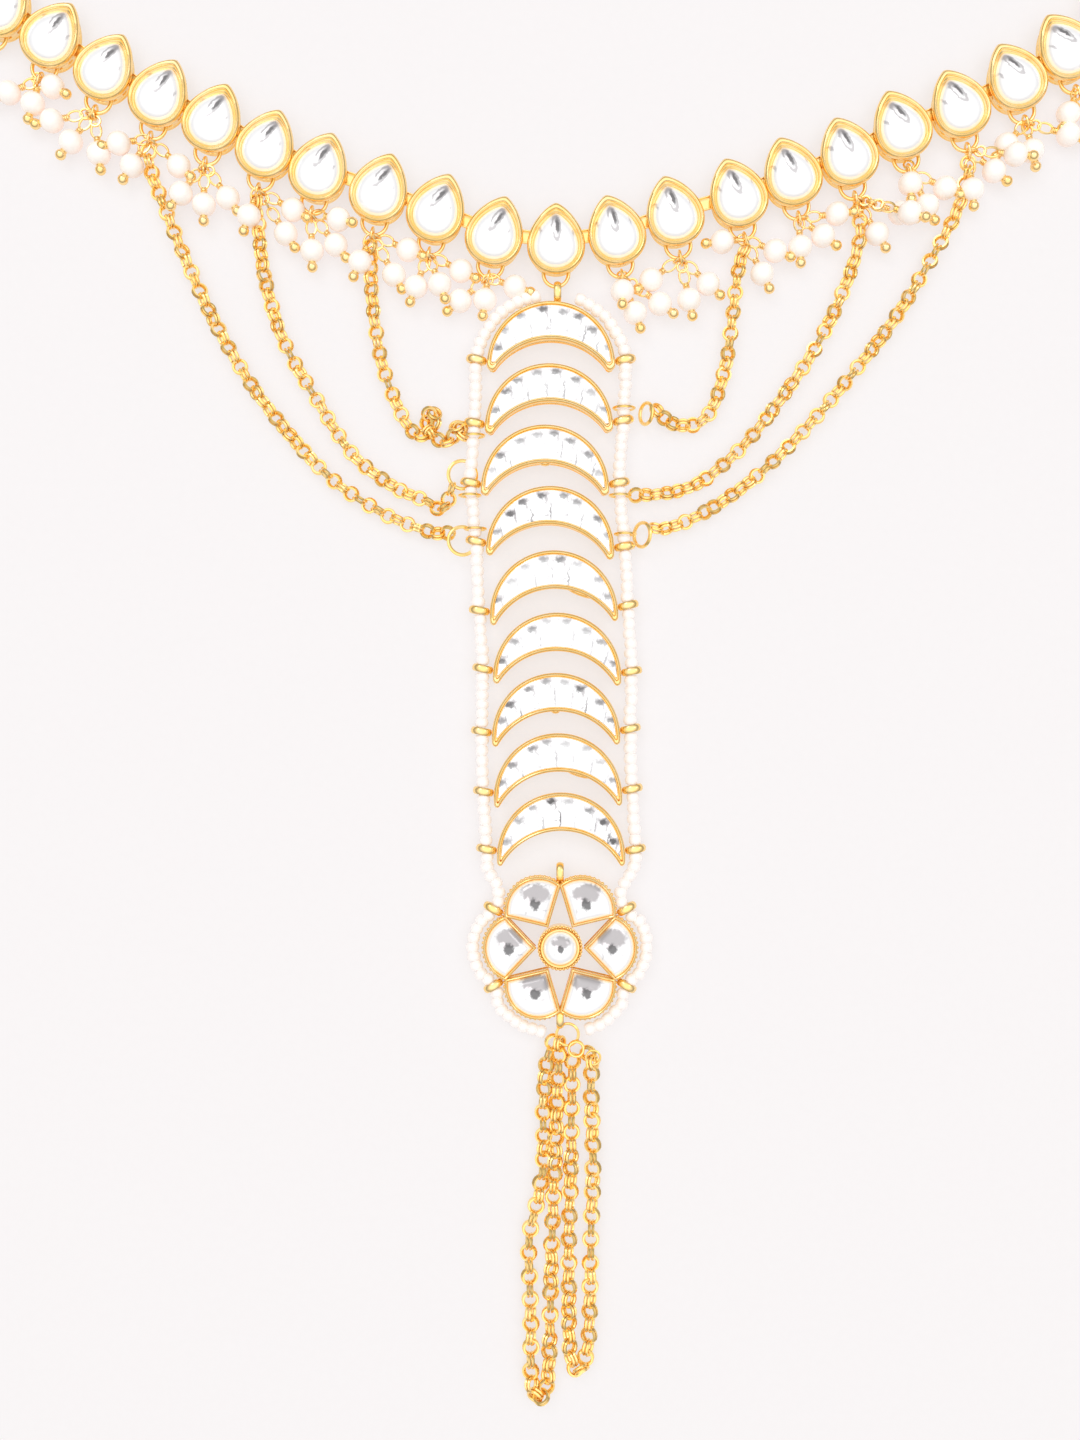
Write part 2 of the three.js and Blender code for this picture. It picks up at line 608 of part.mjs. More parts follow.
addPiece('bead_string_right', fuse([beadString(1)]), beadWhite);
addPiece('finger_chains', fuse(fingerChains()), gold);
addPiece('closing_chain', fuse(closingChain()), gold);
addPiece('clasp', fuse(clasp()), gold);

// The origin goes to the middle of the underside.
const bounds = new THREE.Box3().setFromObject(bracelet, true);
const middle = bounds.getCenter(new THREE.Vector3());
bracelet.position.set(-middle.x, -middle.y, -bounds.min.z);

export default bracelet;
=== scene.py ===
"""A ring bracelet: pear-shaped stones round the wrist, crescents and a flower over the hand."""
import math

import bpy
import numpy as np
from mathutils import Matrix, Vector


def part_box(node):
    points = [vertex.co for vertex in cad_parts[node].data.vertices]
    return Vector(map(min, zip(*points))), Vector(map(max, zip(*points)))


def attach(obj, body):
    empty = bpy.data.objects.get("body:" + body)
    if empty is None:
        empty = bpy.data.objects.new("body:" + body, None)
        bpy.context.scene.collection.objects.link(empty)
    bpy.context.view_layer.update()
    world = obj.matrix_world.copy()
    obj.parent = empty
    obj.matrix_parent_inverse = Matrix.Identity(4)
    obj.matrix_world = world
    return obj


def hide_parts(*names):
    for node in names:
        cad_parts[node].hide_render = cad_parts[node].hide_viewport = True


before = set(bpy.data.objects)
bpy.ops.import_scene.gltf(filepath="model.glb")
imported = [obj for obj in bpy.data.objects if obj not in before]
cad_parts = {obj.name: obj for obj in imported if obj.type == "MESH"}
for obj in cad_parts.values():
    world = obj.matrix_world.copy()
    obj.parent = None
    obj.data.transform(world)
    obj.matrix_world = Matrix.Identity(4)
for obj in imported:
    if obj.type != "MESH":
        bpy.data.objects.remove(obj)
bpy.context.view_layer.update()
MM = 0.001

# ---- camera -------------------------------------------------------------------------
# The bracelet lies flat and is seen from straight above, so that the strap runs off the
# two upper corners of the view.
VIEW_HEIGHT = 146.2
LENS, SENSOR = 24.17, 24.0

# All sizes are millimetres from a point on the hand's middle line, between the flower
# and the strap; the flower's middle lies straight below it.
FLOWER_CENTRE = np.array([0.0, -22.7])
flower_low, flower_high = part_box("flower")
HOME = np.array([(flower_low.x + flower_high.x) / 2 / MM - FLOWER_CENTRE[0],
                 (flower_low.y + flower_high.y) / 2 / MM - FLOWER_CENTRE[1], 0.0])

view = bpy.data.cameras.new("view_from_above")
view.sensor_fit = "VERTICAL"
view.sensor_height = SENSOR
view.lens = LENS
view.clip_start = 0.005
camera = bpy.data.objects.new("view_from_above", view)
bpy.context.scene.collection.objects.link(camera)
camera.location = ((HOME[0] - 2.0) * MM, HOME[1] * MM, VIEW_HEIGHT * MM)
bpy.context.scene.camera = camera
bpy.context.scene.view_settings.view_transform = "Standard"


# ---- table and light ----------------------------------------------------------------
# A plain pale table of painted board, under a white studio tent. The tent is bright
# overhead and dimmer towards the table, so that the gold gets light and dark lines, and
# two soft boxes light it from above.
class Socket:
    """A value in a finish's nodes, which Python's operators combine."""

    def __init__(self, finish, output):
        self.finish, self.output = finish, output

    def math(self, operation, *values):
        inputs = dict(enumerate((self, *values)))
        return self.finish.node("ShaderNodeMath", {"operation": operation}, inputs)

    def __add__(self, other):
        return self.math("ADD", other)

    def __sub__(self, other):
        return self.math("SUBTRACT", other)

    def __mul__(self, other):
        return self.math("MULTIPLY", other)

    def __truediv__(self, other):
        return self.math("DIVIDE", other)

    def __pow__(self, other):
        return self.math("POWER", other)

    def __abs__(self):
        return self.math("ABSOLUTE")

    __radd__, __rmul__ = __add__, __mul__

    def rise(self, start, end):
        """0 below start, 1 above end, and smooth between them; end may be the lower one."""
        low, high = (0.0, 1.0) if start < end else (1.0, 0.0)
        return self.finish.node(
            "ShaderNodeMapRange", {"interpolation_type": "SMOOTHSTEP"},
            {"Value": self, "From Min": min(start, end), "From Max": max(start, end),
             "To Min": low, "To Max": high})


class Finish:
    """One material, whose nodes all come from one method."""

    def __init__(self, name, tree=None):
        if tree is None:
            self.material = bpy.data.materials.new(name)
            self.material.use_nodes = True
            tree = self.material.node_tree
        self.tree = tree
        self.tree.nodes.clear()

    def node(self, kind, settings=None, inputs=None, output=0):
        made = self.tree.nodes.new(kind)
        settings = dict(settings or {})
        for place, (position, colour) in enumerate(settings.pop("stops", [])):
            ramp = made.color_ramp.elements
            stop = ramp[place] if place < 2 else ramp.new(position)
            stop.position, stop.color = position, colour
        for name, value in settings.items():
            setattr(made, name, value)
        for name, value in (inputs or {}).items():
            if isinstance(value, Socket):
                self.tree.links.new(value.output, made.inputs[name])
            else:
                made.inputs[name].default_value = value
        return Socket(self, made.outputs[output]) if len(made.outputs) else None

    def blend(self, share, first, second):
        """A colour between two others."""
        made = self.tree.nodes.new("ShaderNodeMix")
        made.data_type = "RGBA"
        for place, value in ((0, share), (6, first), (7, second)):
            if isinstance(value, Socket):
                self.tree.links.new(value.output, made.inputs[place])
            else:
                made.inputs[place].default_value = value
        return Socket(self, made.outputs[2])

    def noise(self, size, detail=2.0):
        """Cloudy values round 0.5, with features of about the given size."""
        where = self.node("ShaderNodeTexCoord", output="Object")
        return self.node("ShaderNodeTexNoise", None, {
            "Vector": where, "Scale": 1 / (size * MM), "Detail": detail})

    def surface(self, **inputs):
        names = {name.replace("_", " "): value for name, value in inputs.items()}
        shader = self.node("ShaderNodeBsdfPrincipled", None, names)
        self.node("ShaderNodeOutputMaterial", None, {"Surface": shader})
        return self.material


def grey(value):
    return (value, value, value, 1)


def table_paint():
    paint = Finish("table_paint")
    grain = paint.noise(0.8, 3.0)
    return paint.surface(
        Base_Color=paint.blend(grain, (0.3, 0.283, 0.285, 1), (0.32, 0.302, 0.304, 1)),
        Roughness=0.75 + 0.1 * grain, Specular_IOR_Level=0.2,
        Emission_Color=(1.0, 0.98, 0.98, 1), Emission_Strength=0.62)


def light_tent():
    tent = bpy.data.worlds.new("light_tent")
    tent.use_nodes = True
    bpy.context.scene.world = tent
    cloth = Finish("light_tent", tent.node_tree)
    towards = cloth.node("ShaderNodeTexCoord", output="Generated")
    height = cloth.node("ShaderNodeSeparateXYZ", None, {"Vector": towards}, output="Z")
    glow = cloth.node(
        "ShaderNodeValToRGB",
        {"stops": [(0.0, grey(0.45)), (0.3, grey(0.38)), (0.62, grey(0.85)), (0.87, grey(1.42))]},
        {"Fac": height})
    back = cloth.node("ShaderNodeBackground", None, {"Color": glow, "Strength": 1.0})
    cloth.node("ShaderNodeOutputWorld", None, {"Surface": back})


def soft_box(name, place, size, brightness):
    """A square lamp that faces the middle of the bracelet."""
    lamp = bpy.data.lights.new(name, "AREA")
    lamp.size = size * MM
    lamp.energy = brightness * math.pi * (size * MM) ** 2
    box = bpy.data.objects.new(name, lamp)
    bpy.context.scene.collection.objects.link(box)
    spot = np.array(place, float)
    box.location = spot * MM
    direction = -spot / np.linalg.norm(spot)
    box.rotation_euler = (math.acos(-direction[2]), 0,
                          math.atan2(direction[1], direction[0]) + math.pi / 2 + math.pi)


TABLE_REACH = 1500 * MM
table_mesh = bpy.data.meshes.new("table")
table_mesh.from_pydata(
    [(x * TABLE_REACH, y * TABLE_REACH, 0) for x, y in ((-1, -1), (1, -1), (1, 1), (-1, 1))],
    [], [(0, 1, 2, 3)])
table = bpy.data.objects.new("table", table_mesh)
bpy.context.scene.collection.objects.link(table)
table_mesh.materials.append(table_paint())
light_tent()
soft_box("upper_left_box", (-260, 420, 520), 220, 2.2)
soft_box("upper_right_box", (380, 200, 480), 160, 1.8)


# ---- pear links ---------------------------------------------------------------------
# Twenty-one pear-shaped foiled stones, each in a gold-plated brass setting with a bead
# bezel, a pierced wall and a foot. Flat bands join them and each has a wire ring below.
class Form:
    """Points in millimetres, faces, and on stones the place of every point in their painted
    reflections.
    """

    def __init__(self, points, faces, reflection_places=None):
        self.points = np.asarray(points, float).reshape(-1, 3)
        self.faces = faces
        self.reflection_places = np.zeros_like(self.points) if reflection_places is None else reflection_places

    def placed(self, x, y, z=0.0, turn=0.0):
        cos, sin = math.cos(turn), math.sin(turn)
        spin = np.array([[cos, -sin, 0], [sin, cos, 0], [0, 0, 1]])
        return Form(self.points @ spin.T + (x, y, z), self.faces, self.reflection_places)

    def copied(self, frames, places):
        """Copies at the places, turned so that x, y and z run along each frame's rows."""
        points = np.einsum("kij,ni->knj", np.asarray(frames), self.points)
        points = (points + np.asarray(places)[:, None]).reshape(-1, 3)
        count = len(self.points)
        faces = [[corner + count * copy for corner in face]
                 for copy in range(len(places)) for face in self.faces]
        return Form(points, faces, np.tile(self.reflection_places, (len(places), 1)))


def full_turn(corners):
    """The directions of a circle's corners, in radians."""
    return np.arange(corners) * 2 * math.pi / corners


def joined(forms):
    faces, start = [], 0
    for form in forms:
        faces += [[corner + start for corner in face] for face in form.faces]
        start += len(form.points)
    return Form(np.concatenate([form.points for form in forms]), faces,
                np.concatenate([form.reflection_places for form in forms]))


def skin(rings, closed=False):
    """A body over rings of points that turn left round the way from first to last."""
    rings = np.asarray(rings, float)
    levels, count = rings.shape[:2]
    steps = levels if closed else levels - 1
    start = np.arange(steps)[:, None] * count
    near = (start + np.arange(count)).ravel()
    beside = (start + (np.arange(count) + 1) % count).ravel()
    total = levels * count
    faces = np.stack(
        [near, beside, (beside + count) % total, (near + count) % total], 1).tolist()
    if not closed:
        faces += [list(range(count))[::-1], list(range(total - count, total))]
    return Form(rings, faces)


def level(outline, z):
    return np.column_stack([outline, np.full(len(outline), z)])


def smooth_path(points, spacing):
    """Evenly spaced points on a smooth curve through the given ones."""
    points = np.asarray(points, float)
    ends = np.concatenate([[2 * points[0] - points[1]], points, [2 * points[-1] - points[-2]]])
    fine = []
    t = np.linspace(0, 1, 24, endpoint=False)[:, None]
    for a, b, c, d in zip(ends, ends[1:], ends[2:], ends[3:]):
        fine.append(0.5 * (2 * b + (c - a) * t + (2 * a - 5 * b + 4 * c - d) * t ** 2
                           + (3 * b - a - 3 * c + d) * t ** 3))
    fine = np.concatenate(fine + [points[-1:]])
    run = np.concatenate([[0], np.cumsum(np.linalg.norm(np.diff(fine, axis=0), axis=1))])
    steps = max(2, round(run[-1] / spacing))
    stops = np.linspace(0, run[-1], steps + 1)
    return np.column_stack([np.interp(stops, run, column) for column in fine.T])


def directions(path, closed=False):
    if closed:
        along = np.roll(path, -1, 0) - np.roll(path, 1, 0)
    else:
        along = np.gradient(path, axis=0)
    return along / np.linalg.norm(along, axis=1)[:, None]


def wire(path, radius, sides=8, closed=False):
    """A round wire along a path."""
    path = np.asarray(path, float)
    along = directions(path, closed)
    across = np.cross(along[0], (0.0, 0.0, 1.0))
    if np.linalg.norm(across) < 0.1:
        across = np.cross(along[0], (0.0, 1.0, 0.0))
    turns = full_turn(sides)
    rings = []
    for point, way in zip(path, along):
        across = across - way * (across @ way)
        across /= np.linalg.norm(across)
        other = np.cross(way, across)
        rings.append(point + radius * (np.outer(np.cos(turns), across)
                                       + np.outer(np.sin(turns), other)))
    return skin(rings, closed)


def ring(radius, thickness, corners=24, sides=8, squash=1.0):
    """A wire ring in the level plane; squash makes its wire flatter up and down."""
    turns = full_turn(corners)
    round_wire = full_turn(sides)
    reach = radius + thickness * np.cos(round_wire)
    rings = [np.column_stack([reach * math.cos(turn), reach * math.sin(turn),
                              thickness * squash * np.sin(round_wire)]) for turn in turns]
    return skin([each[::-1] for each in rings], closed=True)


def standing(form, turn):
    """A level ring set on edge, its hole along the given direction."""
    hole = np.array([math.cos(turn), math.sin(turn), 0.0])
    side = np.array([-math.sin(turn), math.cos(turn), 0.0])
    return form.copied([[side, (0, 0, 1), hole]], [(0, 0, 0)])


def ball(radius, rows=6, sides=10):
    tilt = (np.arange(rows + 1) / rows - 0.5) * math.pi * 0.98
    turns = full_turn(sides)
    return skin([np.column_stack([
        radius * math.cos(t) * np.cos(turns), radius * math.cos(t) * np.sin(turns),
        np.full(sides, radius * math.sin(t))]) for t in tilt])


def make(name, forms, finish, replaced=(), crease=38):
    """One piece of the bracelet; edges sharper than crease, in degrees, stay sharp."""
    form = joined(forms)
    mesh = bpy.data.meshes.new(name)
    mesh.from_pydata(((form.points + HOME) * MM).tolist(), [], form.faces)
    # Stones carry the places of their painted reflections as a point attribute.
    if form.reflection_places.any():
        reflection_places = mesh.attributes.new("stone_mark", "FLOAT_VECTOR", "POINT")
        reflection_places.data.foreach_set("vector", form.reflection_places.ravel())
    mesh.polygons.foreach_set("use_smooth", [True] * len(mesh.polygons))
    mesh.set_sharp_from_angle(angle=math.radians(crease))
    mesh.materials.append(finish)
    piece = bpy.data.objects.new(name, mesh)
    bpy.context.scene.collection.objects.link(piece)
    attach(piece, "root")
    if replaced:
        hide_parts(*replaced)


def gold_plate(name, tint, rough):
    """Bright gold plate on cast brass, a little uneven, with painted shade that makes it browner in
    its hollows and a faint painted orange glow.
    """
    gold = Finish(name)
    patches = gold.noise(1.6, 3.0)
    fine = gold.noise(0.22, 2.0)
    # Painted shade: ambient occlusion turns the base colour brown in the hollows.
    hollow_shade = gold.node("ShaderNodeAmbientOcclusion", {"samples": 6, "only_local": True},
                       {"Distance": 0.4 * MM}, output="AO").rise(0.1, 0.7)
    paler = [tint[0], tint[1] * 1.06, tint[2] * 1.35, 1]
    bright = gold.blend(patches.rise(0.35, 0.65), tint, paler)
    relief = gold.node("ShaderNodeBump", None, {
        "Strength": 0.2, "Distance": 0.03 * MM, "Height": fine})
    return gold.surface(
        Base_Color=gold.blend(hollow_shade, (0.76, 0.4, 0.09, 1), bright),
        Metallic=1.0, Roughness=rough + 0.12 * (fine - 0.5) + 0.06 * patches, Normal=relief,
        # A faint painted orange glow; the gold is no lamp.
        Emission_Color=(1.0, 0.5, 0.1, 1), Emission_Strength=0.06)


def foiled_stone(name, ripple, painted_reflections):
    """Clear cut stone on bright foil: white, with painted grey reflections where the foil would
    mirror the room, and a faint painted glow.

    Each painted reflection has its middle, half sizes, softness, tone and depth, and may be only
    an outline. The stone's reflection places are millimetres across and along it, and a strength."""
    stone = Finish(name)
    reflection_coords = stone.node("ShaderNodeAttribute", {"attribute_name": "stone_mark"}, output="Vector")
    parts = {axis: stone.node("ShaderNodeSeparateXYZ", None, {"Vector": reflection_coords}, output=axis)
             for axis in "XYZ"}
    wander, other = stone.noise(0.42, 2.0), stone.noise(0.36, 2.0)
    across = parts["X"] + ripple * (wander - 0.5)
    along = parts["Y"] + ripple * (other - 0.5)
    colour = (0.975, 0.97, 0.98, 1)
    # Each entry paints a reflection, mostly grey, into the white of the foil.
    for right, up, half_width, half_height, edge, tone, depth, outline in painted_reflections:
        x, y = (across - right) / half_width, (along - up) / half_height
        spread = (x * x + y * y) ** 0.5
        inside = abs(spread - 1.0).rise(edge, edge * 0.3) if outline else spread.rise(
            1.0 + edge, 1.0 - edge)
        colour = stone.blend(inside * parts["Z"] * depth, colour,
                             (tone, tone * 0.93, tone * 0.95, 1))
    # The emission is a faint painted glow; the stone is no lamp.
    return stone.surface(
        Base_Color=colour, Metallic=0.3, Roughness=0.12 + 0.08 * wander, Coat_Weight=0.7,
        Coat_Roughness=0.02, Emission_Color=colour, Emission_Strength=0.14)


# The painted reflections in the pear stones: grey shapes, an outline, a dark core, a white splinter
# and flecks at the edges, where the foil would mirror the room.
PEAR_PAINTED_REFLECTIONS = [
    (0.0, 0.85, 0.42, 0.7, 0.6, 0.5, 0.65, False),
    (-0.02, -0.4, 0.4, 1.2, 0.3, 0.4, 0.75, True),
    (0.1, -0.25, 0.2, 0.8, 0.45, 0.1, 0.93, False),
    (-0.14, -0.5, 0.1, 0.6, 0.35, 0.96, 0.75, False),
    (-1.6, -0.3, 0.12, 0.42, 0.6, 0.4, 0.7, False),
    (1.6, -0.9, 0.1, 0.36, 0.6, 0.45, 0.6, False),
]
setting_gold = gold_plate("setting_gold", [0.98, 0.69, 0.27, 1], 0.15)
pear_glass = foiled_stone("pear_glass", 0.35, PEAR_PAINTED_REFLECTIONS)

PEAR_WIDTH, PEAR_HEIGHT, PEAR_FULLEST = 5.75, 7.1, 0.859
STONE_INSET, STONE_SHOULDER, STONE_FOOT, STONE_DOME = 0.67, 1.9, 1.74, 1.12
# How far towards its tip the middle of a pear stone's painted reflections lies.
REFLECTION_STREAK_RISE = 1.25
# Six corners to each post of the wall: four on the post and two on the window beside it.
WALL_POSTS = 14
WINDOW = (0.0, 0.0, 0.0, 0.0, 1.0, 1.0)
PEAR_CORNERS = WALL_POSTS * len(WINDOW)
# The middle of each link's stone, from the centre one outward, and its tilt in degrees.
STRAP = {
    "centre": [(-0.4, 47.9, 0)],
    "left": [(-6.4, 48.7, 17), (-12.2, 51.0, 21), (-17.9, 53.0, 20), (-23.9, 55.1, 22),
             (-29.2, 57.4, 23), (-34.5, 60.0, 24), (-39.8, 62.5, 28), (-45.2, 65.1, 31),
             (-50.5, 68.3, 34), (-55.6, 71.4, 34)],
    "right": [(5.5, 48.8, 16), (11.3, 50.7, 16), (17.6, 52.5, 20), (23.0, 54.6, 20),
              (28.6, 56.6, 21), (33.9, 59.3, 23), (39.7, 61.4, 25), (45.3, 64.1, 29),
              (50.3, 67.1, 32), (55.3, 70.4, 33)],
}
# How the stones' painted reflection streaks lean, in degrees, and how much more with each link
# outward.
REFLECTION_STREAK_LEAN = {"left": (-36, 0), "centre": (0, 0), "right": (10, 4.5)}
HANGER_HALF, HANGER_LEG, HANGER_ARCH, HANGER_WIRE, HANGER_HEIGHT = 1.25, -2.5, -3.25, 0.2, 0.9
# The share of a link's tilt that its wire ring swings back.
HANGER_SWING = 0.4
BAND_HEIGHT, BAND_START = 1.2, 2.2
# Across, half width and half depth of the band and of the wires at its edges.
BAND_SPANS = ((0, 0.6, 0.12), (-0.6, 0.11, 0.17), (0.6, 0.11, 0.17))
# The setting's section from its foot to the lip over the stone: inset and height. The
# third value is how much deeper the windows in the wall are.
SETTING_SECTION = [
    (0.38, 0.0, 0), (0.3, 0.06, 0), (0.28, 0.26, 0), (0.34, 0.34, 0), (0.36, 0.4, 0),
    (0.33, 0.62, 0), (0.32, 0.66, 0.2), (0.24, 1.14, 0.2), (0.23, 1.18, 0), (0.18, 1.42, 0),
    (0.1, 1.56, 0), (0.0, 1.74, 0), (0.0, 1.95, 0), (0.05, 2.12, 0), (0.14, 2.24, 0),
    (0.24, 2.3, 0), (0.34, 2.28, 0), (0.41, 2.2, 0), (0.435, 2.07, 0), (0.47, 2.09, 0),
    (0.55, 2.03, 0), (0.63, 1.94, 0), (0.7, 1.83, 0), (0.88, 1.4, 0)]


def pear_outline(inset):
    """The pear shape, drawn in by one inset or by an inset for each corner."""
    turns = full_turn(PEAR_CORNERS)
    fullness = np.sin(turns) * (np.sin(turns / 2) ** 2 + 0.015) ** 0.26
    return np.column_stack([
        -fullness * (PEAR_WIDTH / 2 - inset) / PEAR_FULLEST,
        np.cos(turns) * (PEAR_HEIGHT - 2.5 * inset) / 2 - 0.25 * inset])


def pear_setting():
    window = np.tile(WINDOW, WALL_POSTS)
    return skin([level(pear_outline(inset + deeper * window), z)
                 for inset, z, deeper in SETTING_SECTION])


def pear_stone(lean):
    rings = []
    for step in range(11):
        swell = step / 10 * math.pi / 2
        rings.append(level(pear_outline(STONE_INSET + STONE_SHOULDER * (1 - math.cos(swell))),
                           STONE_FOOT + STONE_DOME * math.sin(swell)))
    form = skin(rings)
    # Places in the painted reflections, turned by how the streak leans.
    turn = math.radians(lean)
    x, y = form.points[:, 0], form.points[:, 1] - REFLECTION_STREAK_RISE
    form.reflection_places = np.column_stack([
        x * math.cos(turn) - y * math.sin(turn), x * math.sin(turn) + y * math.cos(turn),
        np.ones(len(x))])
    return form


def hanger(tilt):
    arch = [(-HANGER_HALF, HANGER_LEG), (-HANGER_HALF, HANGER_ARCH + 0.5)]
    for step in range(13):
        turn = math.pi * (1 + step / 12)
        arch.append((HANGER_HALF * math.cos(turn), HANGER_ARCH + HANGER_HALF * math.sin(turn)))
    arch += [(HANGER_HALF, HANGER_ARCH + 0.5), (HANGER_HALF, HANGER_LEG)]
    path = smooth_path([(x, y, HANGER_HEIGHT) for x, y in arch], 0.22)
    return wire(path, HANGER_WIRE, 10).placed(0, 0, turn=-tilt * HANGER_SWING)


def link_band(here, there):
    """The flat band between two settings, with a wire along each edge."""
    start, end = np.array(here[:2]), np.array(there[:2])
    reach = np.linalg.norm(end - start)
    turn = math.atan2(*(end - start)[::-1])
    spans = []
    for across, half_width, half_depth in BAND_SPANS:
        corners = [(math.cos(a) * half_width, math.sin(a) * half_depth)
                   for a in np.arange(10) * math.pi / 5]
        stations = (BAND_START, reach / 2, reach - BAND_START)
        span = skin([[(along, across + y, BAND_HEIGHT + z) for y, z in corners]
                     for along in stations])
        spans.append(span.placed(*start, turn=turn))
    return joined(spans)


PLACES = {side: [(x, y, math.radians(-tilt if side == "left" else tilt)) for x, y, tilt in rows]
          for side, rows in STRAP.items()}
leans = np.random.default_rng(3)
for side, places in PLACES.items():
    for number, (x, y, tilt) in enumerate(places, 1):
        name = "pear_centre" if side == "centre" else f"pear_{side}_{number:02d}"
        forms = [pear_setting().placed(x, y, turn=tilt), hanger(tilt).placed(x, y, turn=tilt)]
        if side != "centre":
            inner = places[number - 2] if number > 1 else PLACES["centre"][0]
            forms.append(link_band(inner, places[number - 1]))
        lean, more = REFLECTION_STREAK_LEAN[side]
        stone = pear_stone(math.degrees(tilt) - lean - more * number + leans.uniform(-6, 6))
        make(f"{name}_setting", forms, setting_gold, [name])
        make(f"{name}_stone", [stone.placed(x, y, turn=tilt)], pear_glass)


# ---- pearl drops --------------------------------------------------------------------
# Three imitation pearls below each link but the middle and last ones, each on a gold wire
# pin with a ball head. The pin's wrapped eye hangs from the link's jump ring, by small
# rings where it is far.
PEARL_RADIUS, PEARL_HEIGHT = 1.2, 1.23
JUMP_RADIUS, JUMP_WIRE, JUMP_HANG = 0.7, 0.13, 0.15
HEAD_RADIUS, HEAD_REACH = 0.55, 1.66
CUP_RADIUS, CUP_WIRE, CUP_REACH = 0.3, 0.09, 1.17
PIN_WIRE, PIN_START, PIN_EYE_HALF = 0.12, 1.05, 0.5
EYE_LEAST, EYE_MOST, EYE_SHORTER = 0.9, 1.5, 1.3
COIL_LENGTH, COIL_RADIUS, COIL_WIRE, COIL_TURNS = 0.55, 0.26, 0.1, 3
SPARE_RADIUS, SPARE_WIRE, SPARE_PITCH = 0.5, 0.13, 0.75
PEARLS_APART = 2 * PEARL_RADIUS + 0.05
# How far right of and below the middle of its link's stone each pearl lies; the third
# one of a row may lie on top of the others.
DROPS = {
    "left": {
        1: [(-3.6, 6.8), (-1.1, 6.7), (1.9, 5.4)],
        2: [(-2.2, 7.7), (0.2, 7.6), (2.3, 6.1)],
        3: [(-2.1, 7.2), (1.3, 8.5), (2.7, 6.0)],
        4: [(-0.9, 8.2), (1.5, 7.6), (1.9, 5.4)],
        5: [(-1.9, 7.0), (1.8, 8.8), (2.5, 6.4)],
        6: [(-1.1, 8.5), (1.3, 7.8), (-3.3, 7.5)],
        7: [(-3.0, 7.1), (1.7, 7.1), (-4.2, 5.0)],
        8: [(-3.7, 7.3), (-0.9, 8.5), (-5.6, 5.2)],
        9: [(-4.6, 5.6), (-2.2, 6.7), (-0.2, 5.0)],
    },
    "right": {
        1: [(2.0, 8.1), (4.5, 7.2), (0.7, 6.1)],
        2: [(-2.2, 6.7), (1.6, 8.7), (3.5, 7.1)],
        3: [(2.6, 7.9), (3.9, 5.6), (-1.4, 4.7)],
        4: [(1.0, 7.3), (3.3, 6.2), (4.7, 4.0)],
        5: [(3.1, 8.0), (5.4, 5.9), (5.8, 6.7)],
        6: [(2.8, 7.9), (4.6, 6.1), (1.1, 5.7)],
        7: [(1.5, 8.4), (3.7, 6.5), (5.5, 5.3)],
        8: [(-0.7, 6.6), (1.9, 7.2), (5.5, 5.6)],
        9: [(0.5, 6.5), (2.9, 7.1), (4.2, 5.5)],
    },
}


def pearl_lustre():
    lustre = Finish("pearl_lustre")
    # Painted sheen and shade: the pearl turns pinker and darker on its sides, by which way its
    # surface faces, with some cloudy tone.
    facing = lustre.node("ShaderNodeSeparateXYZ", None, {
        "Vector": lustre.node("ShaderNodeNewGeometry", output="Normal")}, output="Z")
    cloudy = lustre.noise(0.9, 2.0)
    side_sheen_and_cloud = facing.rise(0.75, -0.1) + 0.25 * (cloudy - 0.5)
    return lustre.surface(
        Base_Color=lustre.blend(side_sheen_and_cloud, (1.0, 0.955, 0.9, 1), (0.98, 0.8, 0.7, 1)),
        Roughness=0.22 + 0.1 * cloudy, Coat_Weight=0.8, Coat_Roughness=0.06,
        # A faint painted glow; the pearl is no lamp.
        Emission_Color=(1.0, 0.92, 0.84, 1), Emission_Strength=0.1)


def hang_place(x, y, tilt):
    """Where the jump ring hangs in the wire ring below a link, and its direction."""
    turn = tilt * (1 - HANGER_SWING)
    way = np.array([math.sin(turn), -math.cos(turn), 0.0])
    reach = -HANGER_ARCH + HANGER_HALF * math.cos(math.radians(30)) + JUMP_HANG
    return np.array([x, y, HANGER_HEIGHT]) + reach * way, way, turn


